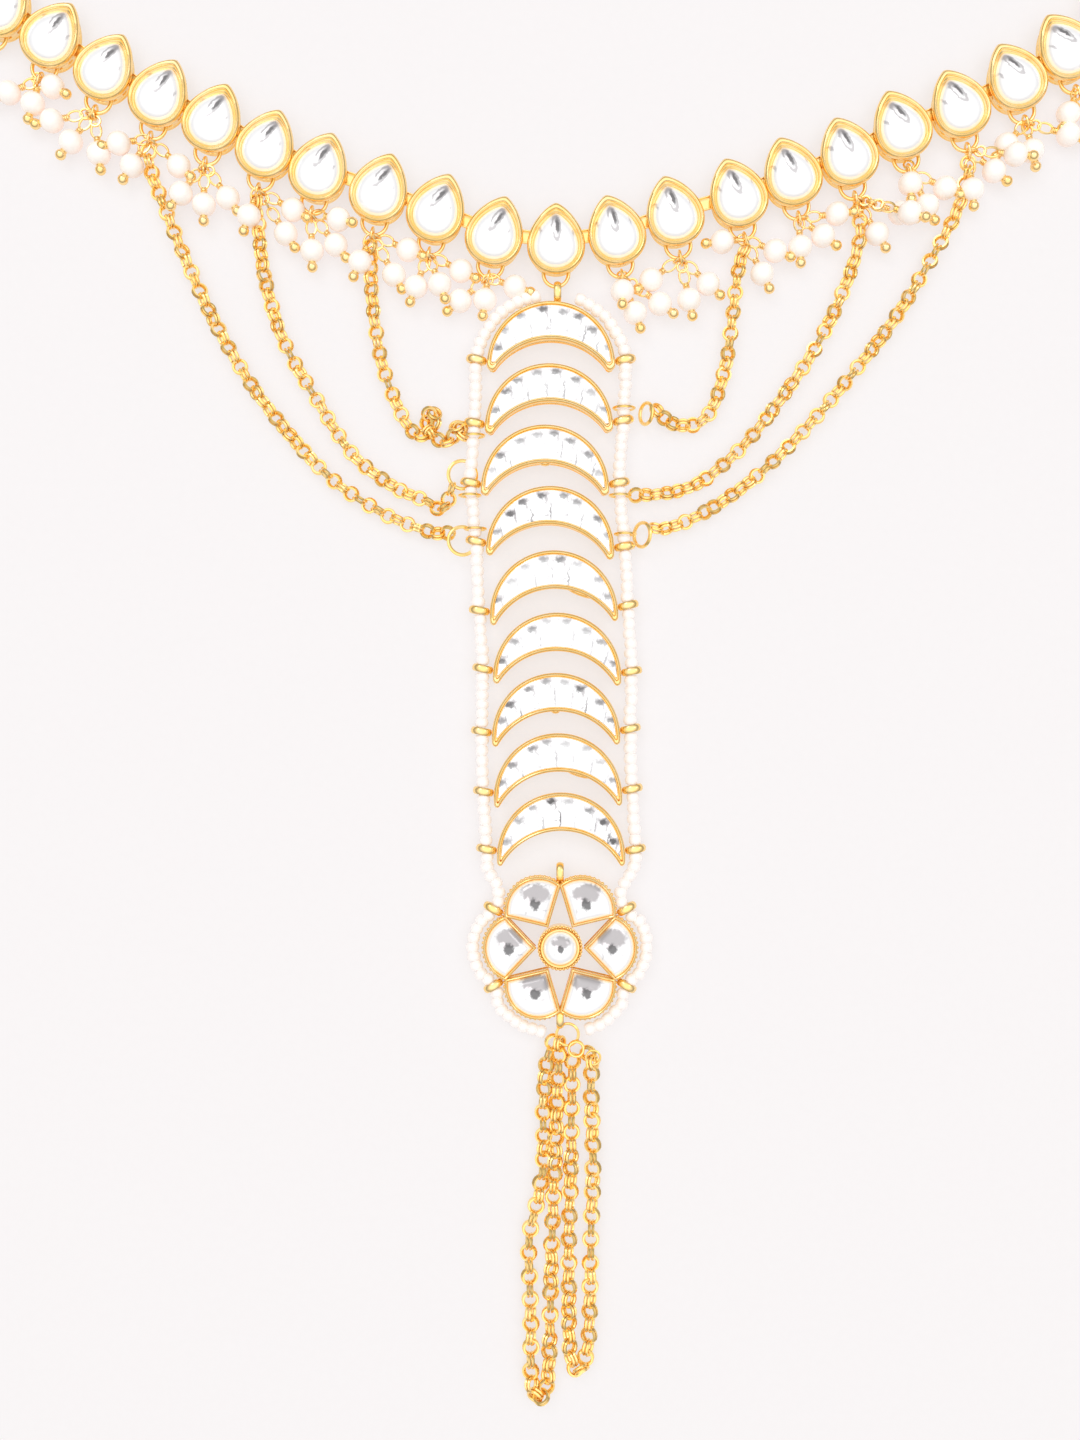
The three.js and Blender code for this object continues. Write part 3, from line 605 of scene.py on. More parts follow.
def drop_wires(jump, pearl):
    """The eye, the wrapped turns, the ball head and the small rings of one pearl's pin."""
    way = (pearl - jump) / np.linalg.norm(pearl - jump)
    side = np.cross(way, (0, 0, 1.0))
    side /= np.linalg.norm(side)
    up = np.cross(side, way)
    reach = np.linalg.norm(pearl - jump)
    eye_length = min(max(reach - EYE_SHORTER, EYE_LEAST), EYE_MOST)
    turns = full_turn(28)
    eye = pearl - way * (PIN_START + COIL_LENGTH + eye_length / 2) + np.outer(
        np.cos(turns) * eye_length / 2, way) + np.outer(np.sin(turns) * PIN_EYE_HALF, side)
    turns = np.linspace(0, COIL_TURNS * 2 * math.pi, COIL_TURNS * 12 + 1)
    coil = pearl - way * PEARL_RADIUS - np.outer(turns / turns[-1] * COIL_LENGTH, way)
    coil = coil + COIL_RADIUS * (np.outer(np.cos(turns), side) + np.outer(np.sin(turns), up))
    spare = reach - 1.0 - COIL_LENGTH - eye_length
    links = []
    count = round(spare / SPARE_PITCH) if spare > 0.4 else 0
    for step in range(count):
        axis = up if step % 2 else side
        links.append(ring(SPARE_RADIUS, SPARE_WIRE, 18, 6).copied(
            [[way, np.cross(axis, way), axis]], [jump + way * spare * (step + 0.5) / count]))
    frame_rows = [[side, up, way]]
    head = ball(HEAD_RADIUS, 8, 14).copied(frame_rows, [pearl + way * HEAD_REACH])
    cup = ring(CUP_RADIUS, CUP_WIRE, 14, 6).copied(frame_rows, [pearl + way * CUP_REACH])
    return [wire(eye, PIN_WIRE, 7, closed=True), wire(coil, COIL_WIRE, 7), head, cup, *links]


def cluster(side, number):
    """The pearls and the wires of one link."""
    x, y, tilt = PLACES[side][number - 1]
    jump, way, turn = hang_place(x, y, tilt)
    pearls, wires = [], [standing(ring(JUMP_RADIUS, JUMP_WIRE, 28, 8), turn).placed(*jump)]
    spots = []
    for right, down in DROPS[side][number]:
        spot = np.array([x + right, y - down, PEARL_HEIGHT])
        for other in spots:
            apart = np.hypot(*(spot - other)[:2])
            if apart < PEARLS_APART:
                spot[2] = max(spot[2], other[2] + math.sqrt(PEARLS_APART ** 2 - apart ** 2))
        spots.append(spot)
        pearls.append(ball(PEARL_RADIUS, 14, 24).placed(*spot))
        wires += drop_wires(jump + (0, 0, 0.1), spot)
    return pearls, wires


pearl_coat = pearl_lustre()
wire_gold = gold_plate("wire_gold", [0.98, 0.7, 0.29, 1], 0.15)
CHAIN_LINKS = {3: "inner", 5: "middle", 7: "outer"}
for side in ("left", "right"):
    for number in DROPS[side]:
        if number in CHAIN_LINKS:
            continue
        pearls, wires = cluster(side, number)
        make(f"pearls_{side}_{number:02d}", pearls, pearl_coat,
             [f"pearl_drops_{side}_{number:02d}"])
        make(f"pearl_pins_{side}_{number:02d}", wires, wire_gold)


# ---- side chains --------------------------------------------------------------------
# Three double-ring chains on each side, from the jump rings of the third, fifth and
# seventh links to the second, third and fourth crescents, with those links' pearls.

# The middle of each crescent's outer curve, and its tilt in degrees.
CRESCENTS = [(-0.9, 35.2, 0), (-1.1, 29.0, 1), (-1.5, 22.9, 0), (-1.0, 16.8, -2), (-0.6, 10.4, 2),
             (-0.3, 4.2, -1), (-0.4, -1.8, 1), (-0.2, -7.8, 1), (0.1, -13.7, 0)]
EYE_RISE = 0.8
STRING_REACH, EYE_HEIGHT = 7.45, 1.2
COLLAR_RADIUS, COLLAR_WIRE, COLLAR_BESIDE = 1.05, 0.13, 1.25
LINK_RADIUS, LINK_WIRE, LINK_PITCH, LINK_SPLIT = 0.66, 0.145, 1.06, 0.18
# For the chain of each link: its crescent, whether its collar lies above (1) or below
# (-1) the crescent's eye, and its route.
SIDE_CHAINS = {
    ("left", 3): (2, -1, [(-19, 45.5), (-18.7, 41), (-17.8, 35.5), (-15.8, 30.4), (-14.2, 28.4),
                          (-12.9, 28.9), (-12.4, 31), (-13.5, 30.2), (-12.2, 28), (-10.9, 27.8),
                          (-10.3, 29.8), (-9.6, 28.2)]),
    ("left", 5): (3, -1, [(-30.1, 48), (-29.3, 43), (-27.5, 37.5), (-24.2, 31.8),
                          (-20.6, 26.4), (-16.2, 23.1), (-13.4, 22), (-11.7, 20.9), (-11.1, 22.4)]),
    ("left", 7): (4, 1, [(-41, 55), (-39.3, 50.5), (-37, 45), (-34.4, 39.5), (-31, 33.7),
                         (-27, 28.5), (-22.6, 23.9), (-17.5, 20.6), (-13.2, 18.9), (-11.8, 18.6)]),
    ("right", 3): (2, 1, [(18, 45.8), (17.3, 40.5), (16.5, 35), (14.6, 30.2), (11.4, 29.6)]),
    ("right", 5): (3, -1, [(30.1, 48.5), (28.4, 43), (25.6, 37.3), (22, 32), (18.2, 27.3),
                           (14, 23.8), (10.6, 22.7)]),
    ("right", 7): (4, 1, [(40, 51.5), (36.8, 45.5), (33.4, 40), (29.4, 34.8), (24.8, 29.4),
                          (19.8, 24.5), (15, 21.1), (10.8, 19.2)]),
}
END_WIRE, END_HEIGHT = 0.19, 1.35
# The wide rings that end some chains: middle, radius and their lean in degrees.
END_RINGS = {("left", 5): (-9.75, 24.5, 1.4, 8), ("left", 7): (-9.75, 17.9, 1.4, 12),
             ("right", 3): (8.6, 30.6, 1.05, 58), ("right", 7): (8.2, 18.5, 1.2, 52)}


def crescent_eye(number, outward):
    """Where the eye at one side of a crescent stands."""
    x, y, tilt = CRESCENTS[number - 1]
    turn = math.radians(tilt)
    return np.array([x + outward * STRING_REACH * math.cos(turn) - EYE_RISE * math.sin(turn),
                     y + outward * STRING_REACH * math.sin(turn) + EYE_RISE * math.cos(turn),
                     EYE_HEIGHT])


def double_link(radius, thickness, split):
    one = ring(radius, thickness, 16, 6)
    return joined([one.placed(0, 0, -split), one.placed(0, 0, split)])


def chain(route, radius, thickness, pitch, split, draws, lie=True):
    """Double rings along a route, each turned a quarter from the last."""
    path = smooth_path(route, pitch)
    middles = (path[1:] + path[:-1]) / 2
    along = directions(path)[:-1]
    along = (along + directions(path)[1:]) / 2
    frames, places = [], []
    drift = draws.uniform(-0.8, 0.8)
    for count, (middle, way) in enumerate(zip(middles, along)):
        way = way / np.linalg.norm(way)
        drift = 0.9 * drift + draws.uniform(-0.45, 0.45)
        roll = drift + (count % 2) * math.pi / 2
        side = np.cross((0, 0, 1.0), way)
        side /= np.linalg.norm(side)
        up = np.cross(way, side)
        axis = math.cos(roll) * up + math.sin(roll) * side
        wobble = draws.uniform(-0.3, 0.3)
        lean = way * math.cos(wobble) + np.cross(axis, way) * math.sin(wobble)
        frames.append([lean, np.cross(axis, lean), axis])
        place = middle.copy()
        if lie:
            outer = radius + thickness
            flat = split + thickness + 0.15
            rest = 0.03 + outer * abs(math.sin(roll)) + flat * abs(math.cos(roll))
            place[2] = max(rest, middle[2] - outer + rest)
        places.append(place)
    return double_link(radius, thickness, split).copied(frames, places)


side_draws = np.random.default_rng(11)
chain_gold = gold_plate("chain_gold", [1.0, 0.69, 0.23, 1], 0.16)
REST = LINK_RADIUS + LINK_WIRE + 0.03
for (side, number), (crescent, beside, route) in SIDE_CHAINS.items():
    outward = -1 if side == "left" else 1
    node = f"side_chain_{side}_{CHAIN_LINKS[number]}"
    pearls, wires = cluster(side, number)
    make(f"pearls_{side}_{number:02d}", pearls, pearl_coat, [node])
    make(f"pearl_pins_{side}_{number:02d}", wires, wire_gold)
    jump, way, _ = hang_place(*PLACES[side][number - 1])
    collar = crescent_eye(crescent, outward) + (outward * 0.06, beside * COLLAR_BESIDE, 0)
    run = [jump + way * JUMP_RADIUS, *[(px, py, REST) for px, py in route],
           collar + (outward * COLLAR_RADIUS, 0, 0)]
    hook = ring(COLLAR_RADIUS, COLLAR_WIRE, 28, 8)
    forms = [standing(hook, math.pi / 2).placed(*collar)]
    if (side, number) in END_RINGS:
        x, y, radius, rise = END_RINGS[side, number]
        rise = math.radians(rise) * outward
        cos, sin = math.cos(rise), math.sin(rise)
        forms.append(ring(radius, END_WIRE, 36, 8).copied(
            [[(cos, 0, sin), (0, 1, 0), (-sin, 0, cos)]], [(x, y, END_HEIGHT)]))
        run[-1] = np.array([x + outward * radius * 0.7, y + radius * 0.65 * beside, 1.2])
    forms.append(chain(run, LINK_RADIUS, LINK_WIRE, LINK_PITCH, LINK_SPLIT, side_draws))
    make(f"side_chain_{side}_{CHAIN_LINKS[number]}_links", forms, chain_gold)


# ---- crescents ----------------------------------------------------------------------
# Nine curved settings, each with eight foiled baguettes side by side between two bezel
# wires. An eye stands on edge at each side, for the bead strings.
CRESCENT_OUTER, OUTER_RISE, CRESCENT_INNER, INNER_DROP = 6.4, 0.1, 6.75, 4.1
# How much lower than the first one's each crescent's tips reach.
TIP_DROPS = [0.0, 0.05, 0.2, 0.3, 0.5, 0.4, 0.5, 0.6, 0.6]
# Inset and height from the foot, over the bezel and the thin lip inside it, to the stones.
CRESCENT_SECTION = [
    (0.2, 0.0), (0.14, 0.06), (0.12, 0.3), (0.17, 0.36), (0.1, 1.5), (0.0, 1.62), (0.0, 1.9),
    (0.03, 2.06), (0.1, 2.17), (0.19, 2.21), (0.27, 2.17), (0.31, 2.06), (0.325, 1.9),
    (0.35, 1.98), (0.42, 2.0), (0.47, 1.9), (0.5, 1.7)]
# Where the cuts between the stones meet both edges, right of the middle.
OUTER_CUTS = [0.0, 1.9, 3.75, 5.2]
INNER_CUTS = [0.0, 1.6, 3.3, 4.7]
# How strong the painted reflections in each crescent's stones are.
REFLECTION_STRENGTHS = [0.9, 0.85, 0.9, 1.0, 0.85, 0.95, 1.05, 0.9, 1.1]
LUG_RADIUS, LUG_WIRE, LUG_LEAN = 0.82, 0.25, 0.2
BAIL_RIGHT, BAIL_RISE = 0.65, 1.08
BAGUETTE_LEVELS = (
    (1.0, 1.5), (1.0, 2.02), (0.985, 2.04), (0.88, 2.09), (0.5, 2.12), (0.1, 2.13))
# Least and most strength, shift aside and shift inward of a stone's painted reflection, and its
# inset.
REFLECTION_LEAST, REFLECTION_MOST, REFLECTION_INSET = (0.4, -0.3, -0.12), (1.0, 0.3, 0.2), 0.45
# The painted reflections in the baguettes, mostly dark shapes at their outer edges, where the foil
# would mirror the room.
BAGUETTE_PAINTED_REFLECTIONS = [
    (0.05, 0.2, 0.72, 0.26, 0.4, 0.42, 0.8, False),
    (0.42, -0.3, 0.12, 0.6, 0.5, 0.4, 0.8, False),
    (-0.02, -0.02, 0.42, 0.3, 0.45, 0.08, 0.95, False),
    (-0.55, -0.5, 0.05, 0.8, 0.6, 0.5, 0.5, False),
    (0.84, -1.7, 0.09, 1.0, 0.5, 0.24, 0.9, False),
    (0.4, -1.9, 0.2, 0.12, 0.5, 0.35, 0.7, False),
]
baguette_glass = foiled_stone("baguette_glass", 0.65, BAGUETTE_PAINTED_REFLECTIONS)


def crescent_arcs(inset, drop):
    """Radii of both edges at an inset, and how high the tips lie."""
    outer, inner = CRESCENT_OUTER - inset, CRESCENT_INNER + inset
    meet = (inner ** 2 - outer ** 2 + OUTER_RISE ** 2 - INNER_DROP ** 2) / (
        2 * (OUTER_RISE + INNER_DROP))
    return outer, inner, max(inset - drop, meet + 0.2)


def crescent_outline(inset, drop):
    """Both curved edges of a crescent, with blunt tips between them."""
    outer, inner, tip = crescent_arcs(inset, drop)
    outer_tip = math.asin((tip - OUTER_RISE) / outer)
    inner_tip = math.asin((tip + INNER_DROP) / inner)
    turns = np.linspace(outer_tip, math.pi - outer_tip, 45)
    back = np.linspace(math.pi - inner_tip, inner_tip, 35)
    over = np.column_stack([outer * np.cos(turns), OUTER_RISE + outer * np.sin(turns)])
    under = np.column_stack([inner * np.cos(back), inner * np.sin(back) - INNER_DROP])
    width = over[0, 0] - under[-1, 0]
    blunt = np.array([(0.2, 0.3), (0.5, 0.42), (0.8, 0.3)]) * (width, -width)
    left = over[-1] + blunt
    right = np.array([under[-1, 0], tip]) + blunt
    return np.concatenate([over, left, under, right])


def baguettes(draws, depth, drop):
    """Eight stones, each with a painted reflection at its outer edge, none quite like the next."""
    outer, inner, tip = crescent_arcs(0.45, drop)
    outer_tip = math.sqrt(outer ** 2 - (tip - OUTER_RISE) ** 2)
    inner_tip = math.sqrt(inner ** 2 - (tip + INNER_DROP) ** 2)
    cuts = list(zip(OUTER_CUTS, INNER_CUTS)) + [(outer_tip, inner_tip)]
    cuts = [(-a, -b) for a, b in cuts[:0:-1]] + cuts
    forms = []
    for (over_left, under_left), (over_right, under_right) in zip(cuts, cuts[1:]):
        strength, aside, lower = draws.uniform(REFLECTION_LEAST, REFLECTION_MOST) * (depth, 1, 1)
        over = np.linspace(over_right, over_left, 7)
        under = np.linspace(under_left, under_right, 7)
        outline = np.concatenate([
            np.column_stack([over, OUTER_RISE + np.sqrt(outer ** 2 - over ** 2)]),
            np.column_stack([under, np.sqrt(inner ** 2 - under ** 2) - INNER_DROP])])
        middle = outline.mean(0)
        form = skin([level(middle + (outline - middle) * scale, z)
                     for scale, z in BAGUETTE_LEVELS])
        top, foot = over.mean(), under.mean()
        top = np.array([top, OUTER_RISE + math.sqrt(outer ** 2 - top ** 2)])
        foot = np.array([foot, math.sqrt(inner ** 2 - foot ** 2) - INNER_DROP])
        radial = (top - foot) / np.linalg.norm(top - foot)
        offset = form.points[:, :2] - top + radial * (REFLECTION_INSET + lower)
        form.reflection_places = np.column_stack([
            offset @ (radial[1], -radial[0]) - aside, offset @ radial,
            np.full(len(offset), strength)])
        forms.append(form)
    return forms


def lug(turn, length=0.38):
    """A low eye on edge, its hole along the given direction."""
    eye = standing(ring(LUG_RADIUS, LUG_WIRE, 24, 10, squash=length / LUG_WIRE), turn)
    eye.points = eye.points * (1, 1, 0.75)
    return eye


def solder_run(angle, length):
    """Solder that has run out below the inner edge."""
    turn = math.radians(angle)
    run = ball(1.0, 8, 12)
    run.points = run.points * (length / 2, 0.28, 0.5)
    reach = CRESCENT_INNER + 0.04
    return run.placed(0, 0, turn=turn - math.pi / 2).placed(
        reach * math.cos(turn), reach * math.sin(turn) - INNER_DROP, 1.5)


# Where round the inner edge, in degrees, and how long.
SOLDER_RUNS = {3: (90, 1.2), 5: (67, 2.8), 7: (90, 0.9), 8: (72, 2.6)}
draws = np.random.default_rng(5)
for number, ((x, y, tilt), drop) in enumerate(zip(CRESCENTS, TIP_DROPS), 1):
    forms = [skin([level(crescent_outline(inset, drop), z) for inset, z in CRESCENT_SECTION])]
    if number in SOLDER_RUNS:
        forms.append(solder_run(*SOLDER_RUNS[number]))
    for outward in (-1, 1):
        forms.append(lug(math.pi / 2 + outward * LUG_LEAN).placed(
            outward * STRING_REACH, EYE_RISE, EYE_HEIGHT))
    if number == 1:
        forms.append(lug(0).placed(BAIL_RIGHT, CRESCENT_OUTER + OUTER_RISE + BAIL_RISE, EYE_HEIGHT))
    name = f"crescent_{number:02d}"
    turn = math.radians(tilt)
    make(f"{name}_setting", [form.placed(x, y, turn=turn) for form in forms], setting_gold,
         [name])
    stones = baguettes(draws, REFLECTION_STRENGTHS[number - 1], drop)
    make(f"{name}_baguettes", [form.placed(x, y, turn=turn) for form in stones], baguette_glass,
         crease=15)


# ---- bead strings -------------------------------------------------------------------
# White glass seed beads on a thread down each side, through the crescents' eyes, and
# round the flower to its foot.
SEED_LENGTH, SEED_PITCH = 0.98, 0.97
STRING_ARCH = 7.35
EYE_REACH, BEAD_REACH = 7.5, 8.7
LUG_GAP, FINE_STEP = 0.38, 0.1


def seed_glass():
    glass = Finish("seed_glass")
    cloudy = glass.noise(0.7, 2.0)
    return glass.surface(
        Base_Color=glass.blend(cloudy.rise(0.3, 0.7), (0.88, 0.82, 0.79, 1), (0.9, 0.85, 0.82, 1)),
        Roughness=0.3 + 0.15 * cloudy, Coat_Weight=0.4, Coat_Roughness=0.15,
        # A painted glow that lifts the shade on the beads and the thread; they are no lamp.
        Emission_Color=(1.0, 0.92, 0.88, 1), Emission_Strength=0.18)


def string_route(outward):
    """The thread's route down one side, and the eyes that it runs through."""
    x, y, _ = CRESCENTS[0]
    route = []
    for degrees in (84 if outward < 0 else 73, 62, 43, 24):
        turn = math.radians(degrees)
        route.append((x + outward * STRING_REACH * math.cos(turn),
                      y + STRING_ARCH * math.sin(turn)))
    lugs = [tuple(crescent_eye(number, outward)[:2]) for number in range(1, len(CRESCENTS) + 1)]
    route += lugs
    route.append((route[-1][0] - outward * 0.15, route[-1][1] - 2))
    for degrees in (43, 30, 17, 0, -17, -30, -43, -60, -81 if outward < 0 else -74):
        turn = math.radians(degrees)
        reach = EYE_REACH if abs(degrees) == 30 else BEAD_REACH
        if abs(abs(degrees) - 30) == 13:
            reach -= 0.3
        route.append((outward * reach * math.cos(turn), FLOWER_CENTRE[1] + reach * math.sin(turn)))
        if abs(degrees) == 30:
            lugs.append(route[-1])
    return [(px, py, EYE_HEIGHT) for px, py in route], np.array(lugs)


def seed_bead():
    turns = full_turn(12)
    section = []
    for step in full_turn(10):
        section.append((0.36 + 0.32 * math.cos(step), SEED_LENGTH / 2 * 1.06 * math.sin(step)))
    rings = [np.column_stack([r * np.cos(turns), r * np.sin(turns), np.full(12, h)])
             for r, h in section]
    return skin(rings, closed=True)


seed_coat = seed_glass()
for side, outward in (("left", -1), ("right", 1)):
    route, lugs = string_route(outward)
    fine = smooth_path(route, FINE_STEP)
    along = directions(fine)
    thread = wire(fine[6:-4:5], 0.12, 6)
    stops = [int(np.argmin(np.hypot(*(fine[:, :2] - lug_place).T))) for lug_place in lugs]
    edges = [0, *stops, len(fine) - 1]
    frames, places = [], []
    for start, end in zip(edges, edges[1:]):
        first = fine[start:end + 1]
        run = np.concatenate([[0], np.cumsum(np.linalg.norm(np.diff(first, axis=0), axis=1))])
        low = LUG_GAP if start else 0.3
        high = run[-1] - (LUG_GAP if end < len(fine) - 1 else 0.1)
        count = max(1, round((high - low) / SEED_PITCH))
        pitch = (high - low) / count
        for bead in range(count):
            stop = low + (bead + 0.5) * pitch
            spot = np.array([np.interp(stop, run, column) for column in first.T])
            way = along[start + int(stop / FINE_STEP)]
            side_way = np.cross((0, 0, 1.0), way)
            size = draws.uniform(0.94, 1.05)
            tilt = draws.uniform(-0.12, 0.12)
            way = way * math.cos(tilt) + side_way * math.sin(tilt)
            side_way = np.cross((0, 0, 1.0), way)
            frames.append([side_way * size, np.cross(way, side_way) * size,
                           way * pitch / SEED_LENGTH * 0.99])
            places.append(spot + side_way * draws.uniform(-0.06, 0.06))
    make(f"seed_beads_{side}", [seed_bead().copied(frames, places)], seed_coat,
         [f"bead_string_{side}"], crease=80)
    make(f"bead_thread_{side}", [thread], seed_coat)


# ---- flower -------------------------------------------------------------------------
# A flower setting with six fan-shaped petals round a domed stone in a beaded collar,
# open between the petals. It has eyes at four notches, a bail above and a foot below.
PETALS, PETAL_NOTCH, PETAL_TIP, PETAL_CORNER = 6, 6.3, 7.7, 2.35
COLLAR, GRAIN, RIM_GRAIN_HEIGHT = 2.1, 0.17, 1.5
DOME_RADIUS, DOME_FOOT, DOME_RISE = 1.69, 1.85, 1.0
PETAL_STONE, PETAL_REFLECTION_REACH, PETAL_FOOT, PETAL_RISE = 4.75, 5.1, 1.8, 0.85
# Inset and height from a petal's foot, over its bezel, to the stone.
PETAL_PROFILE = [
    (0.1, 0.0), (0.04, 0.06), (0.04, 0.3), (0.1, 0.36), (0.06, 1.45), (0.0, 1.6), (0.0, 1.9),
    (0.03, 2.08), (0.09, 2.17), (0.17, 2.2), (0.24, 2.16), (0.28, 2.06), (0.3, 1.93),
    (0.33, 1.97), (0.38, 1.95), (0.42, 1.8), (0.5, 1.6)]
HALF = math.pi / PETALS + 0.015
NOTCH_X, NOTCH_Y = PETAL_NOTCH * math.cos(HALF), PETAL_NOTCH * math.sin(HALF)
PETAL_RADIUS = (NOTCH_Y ** 2 + (PETAL_TIP - NOTCH_X) ** 2) / (2 * (PETAL_TIP - NOTCH_X))
PETAL_MIDDLE = PETAL_TIP - PETAL_RADIUS
PETAL_SLOPE = math.atan2(NOTCH_Y, NOTCH_X - PETAL_CORNER)


def petal_outline(inset):
    """A petal that points right: two straight sides and a round end."""
    radius = PETAL_RADIUS - inset
    corner = PETAL_CORNER + inset / math.sin(PETAL_SLOPE)
    back = PETAL_MIDDLE - corner
    reach = back * math.cos(PETAL_SLOPE) + math.sqrt(
        radius ** 2 - (back * math.sin(PETAL_SLOPE)) ** 2)
    notch = np.array([corner + reach * math.cos(PETAL_SLOPE), reach * math.sin(PETAL_SLOPE)])
    sweep = math.atan2(notch[1], notch[0] - PETAL_MIDDLE)
    turns = np.linspace(-sweep, sweep, 25)
    arc = np.column_stack([PETAL_MIDDLE + radius * np.cos(turns), radius * np.sin(turns)])
    steps = np.linspace(0, 1, 9)[:, None]
    point = np.array([corner, 0.0])
    return np.concatenate([point + (arc[0] - point) * steps[:-1], arc,
                           (arc[-1] + (point - arc[-1]) * steps)[1:-1]])


# The painted reflections in the petal stones: a grey cap, a dark core, a white fleck and smaller
# grey shapes, where the foil would mirror the room.
PETAL_PAINTED_REFLECTIONS = [
    (0.1, 1.05, 1.45, 0.95, 0.2, 0.38, 0.9, False),
    (-0.6, 0.35, 0.3, 0.35, 0.3, 0.97, 0.7, False),
    (0.05, 0.0, 0.5, 0.6, 0.3, 0.07, 0.9, False),
    (0.35, 0.45, 0.3, 0.16, 0.4, 0.5, 0.7, False),
    (1.0, -0.6, 0.35, 0.08, 0.5, 0.4, 0.5, False),
    (-0.9, -0.7, 0.08, 0.4, 0.5, 0.45, 0.5, False),
]
petal_glass = foiled_stone("petal_glass", 0.7, PETAL_PAINTED_REFLECTIONS)
flower_forms, flower_stones = [], []
for count in range(PETALS):
    turn = 2 * math.pi * count / PETALS
    flower_forms.append(skin([level(petal_outline(inset), z) for inset, z in PETAL_PROFILE])
                        .placed(0, 0, turn=turn))
    base = petal_outline(0.38)
    middle = np.array([PETAL_STONE, 0.0])
    rings = [level(middle + (base - middle) * math.cos(a),
                   PETAL_FOOT + PETAL_RISE * math.sin(a) ** 0.8)
             for a in np.linspace(0.0, 1.5, 10)]
    stone = skin(rings).placed(0, 0, turn=turn)
    # The petal's painted reflections are placed from a spot near its end.
    spot = PETAL_REFLECTION_REACH * np.array([math.cos(turn), math.sin(turn)])
    stone.reflection_places = np.column_stack([stone.points[:, :2] - spot, np.ones(len(stone.points))])
    flower_stones.append(stone)
turns = full_turn(40)
around = np.column_stack([np.cos(turns), np.sin(turns)])
collar_profile = [(2.2, 0.0), (2.2, 1.55), (2.24, 1.6), (2.24, 1.75), (1.96, 1.8), (1.95, 2.15),
                  (1.88, 2.28), (1.78, 2.3), (1.7, 2.2), (1.68, 1.95), (1.5, 1.7)]
flower_forms.append(skin([level(around * r, z) for r, z in collar_profile]))
grains = [(COLLAR * math.cos(a), COLLAR * math.sin(a), 1.92)
          for a in full_turn(36)]
for count in range(PETALS):
    turn = 2 * math.pi * count / PETALS
    for sweep in np.linspace(-1.12, 1.12, 17):
        reach = np.array([PETAL_MIDDLE + PETAL_RADIUS * math.cos(sweep),
                          PETAL_RADIUS * math.sin(sweep)])
        grains.append((reach[0] * math.cos(turn) - reach[1] * math.sin(turn),
                       reach[0] * math.sin(turn) + reach[1] * math.cos(turn), RIM_GRAIN_HEIGHT))
flower_forms.append(ball(GRAIN, 5, 8).copied([np.eye(3)] * len(grains), grains))
dome = skin([level(around * DOME_RADIUS * math.cos(a), DOME_FOOT + DOME_RISE * math.sin(a))
             for a in np.linspace(0, 1.5, 10)])
# Places in the dome's painted reflections.
dome.reflection_places = np.column_stack([dome.points[:, :2] * 1.6, np.ones(len(dome.points))])
flower_stones.append(dome)
for degrees in (30, 150, 210, 330):
    turn = math.radians(degrees)
    flower_forms.append(lug(turn + math.pi / 2).placed(
        PETAL_TIP * math.cos(turn), PETAL_TIP * math.sin(turn), EYE_HEIGHT))
for up in (-7.1, 7.45):
    flower_forms.append(lug(0).placed(0, up, EYE_HEIGHT))
make("flower_setting", [form.placed(*FLOWER_CENTRE) for form in flower_forms], setting_gold,
     ["flower"])
make("flower_stones", [form.placed(*FLOWER_CENTRE) for form in flower_stones], petal_glass)


# ---- finger chains ------------------------------------------------------------------
# Two loops for a finger, of gold-plated double-ring chain with slightly larger links than
# the side chains. They meet at a ring in the flower's foot, a double ring and a thin one.
FINGER_RING = np.array([0.75, -31.5, 1.0])
FINGER_RADIUS, FINGER_WIRE, FINGER_PITCH = 0.72, 0.16, 1.18
FINGER_LOOPS = [
    [(-0.4, -31.8), (-1.2, -33.5), (-1.5, -36), (-1.7, -40), (-1.6, -43.5), (-2.1, -47.5),
     (-3.1, -52), (-3.0, -57), (-2.9, -62), (-2.9, -66), (-2.1, -68.2), (-1.2, -66),
     (-1.0, -60), (-0.8, -52), (-0.5, -44), (-0.2, -36), (-0.1, -33.5), (0.0, -31.8)],
    [(2.3, -33.1), (3.4, -33.9), (3.1, -36), (3.3, -44), (3.1, -52), (3.0, -58), (2.8, -62.8),
     (1.9, -65.5), (1.0, -63.4), (0.9, -58), (0.9, -52), (1.1, -44), (1.2, -36), (1.3, -33.6)],
]
finger_forms = [
    ring(1.1, 0.15, 30, 8).placed(*FINGER_RING),
    double_link(0.74, 0.14, 0.17).placed(1.6, -32.8, 1.5),
    ring(0.72, 0.11, 24, 8).placed(3.3, -33.7, 1.5)]
for loop in FINGER_LOOPS:
    run = [(px, py, 0.85) for px, py in loop]
    finger_forms.append(chain(run, FINGER_RADIUS, FINGER_WIRE, FINGER_PITCH, 0.18, draws))
make("finger_chain_links", finger_forms, chain_gold, ["finger_chains"])


# ---- closing chain and clasp --------------------------------------------------------
# Behind the wrist, a plain length of the side chains' chain and a barrel clasp, both gold
# plated, close the strap. Rings hold them in eyes on the last links.
CLASP_X, CLASP_Y, CLASP_LENGTH, CLASP_TURN = 57.7, 79.9, 4.6, -0.85
CLOSING_HEIGHT = 81.6
# From the foot of an end's eye to the middle of the ring in it.
EYE_TO_RING = 2 * 0.88 + 0.15
END_REACH = PEAR_WIDTH / 2 + EYE_TO_RING


def end_ring(place):
    """Where the ring in the last link's outer eye lies."""
    x, y, tilt = place
    reach = math.copysign(END_REACH, tilt)
    return np.array([x + reach * math.cos(tilt), y + reach * math.sin(tilt), EYE_HEIGHT])


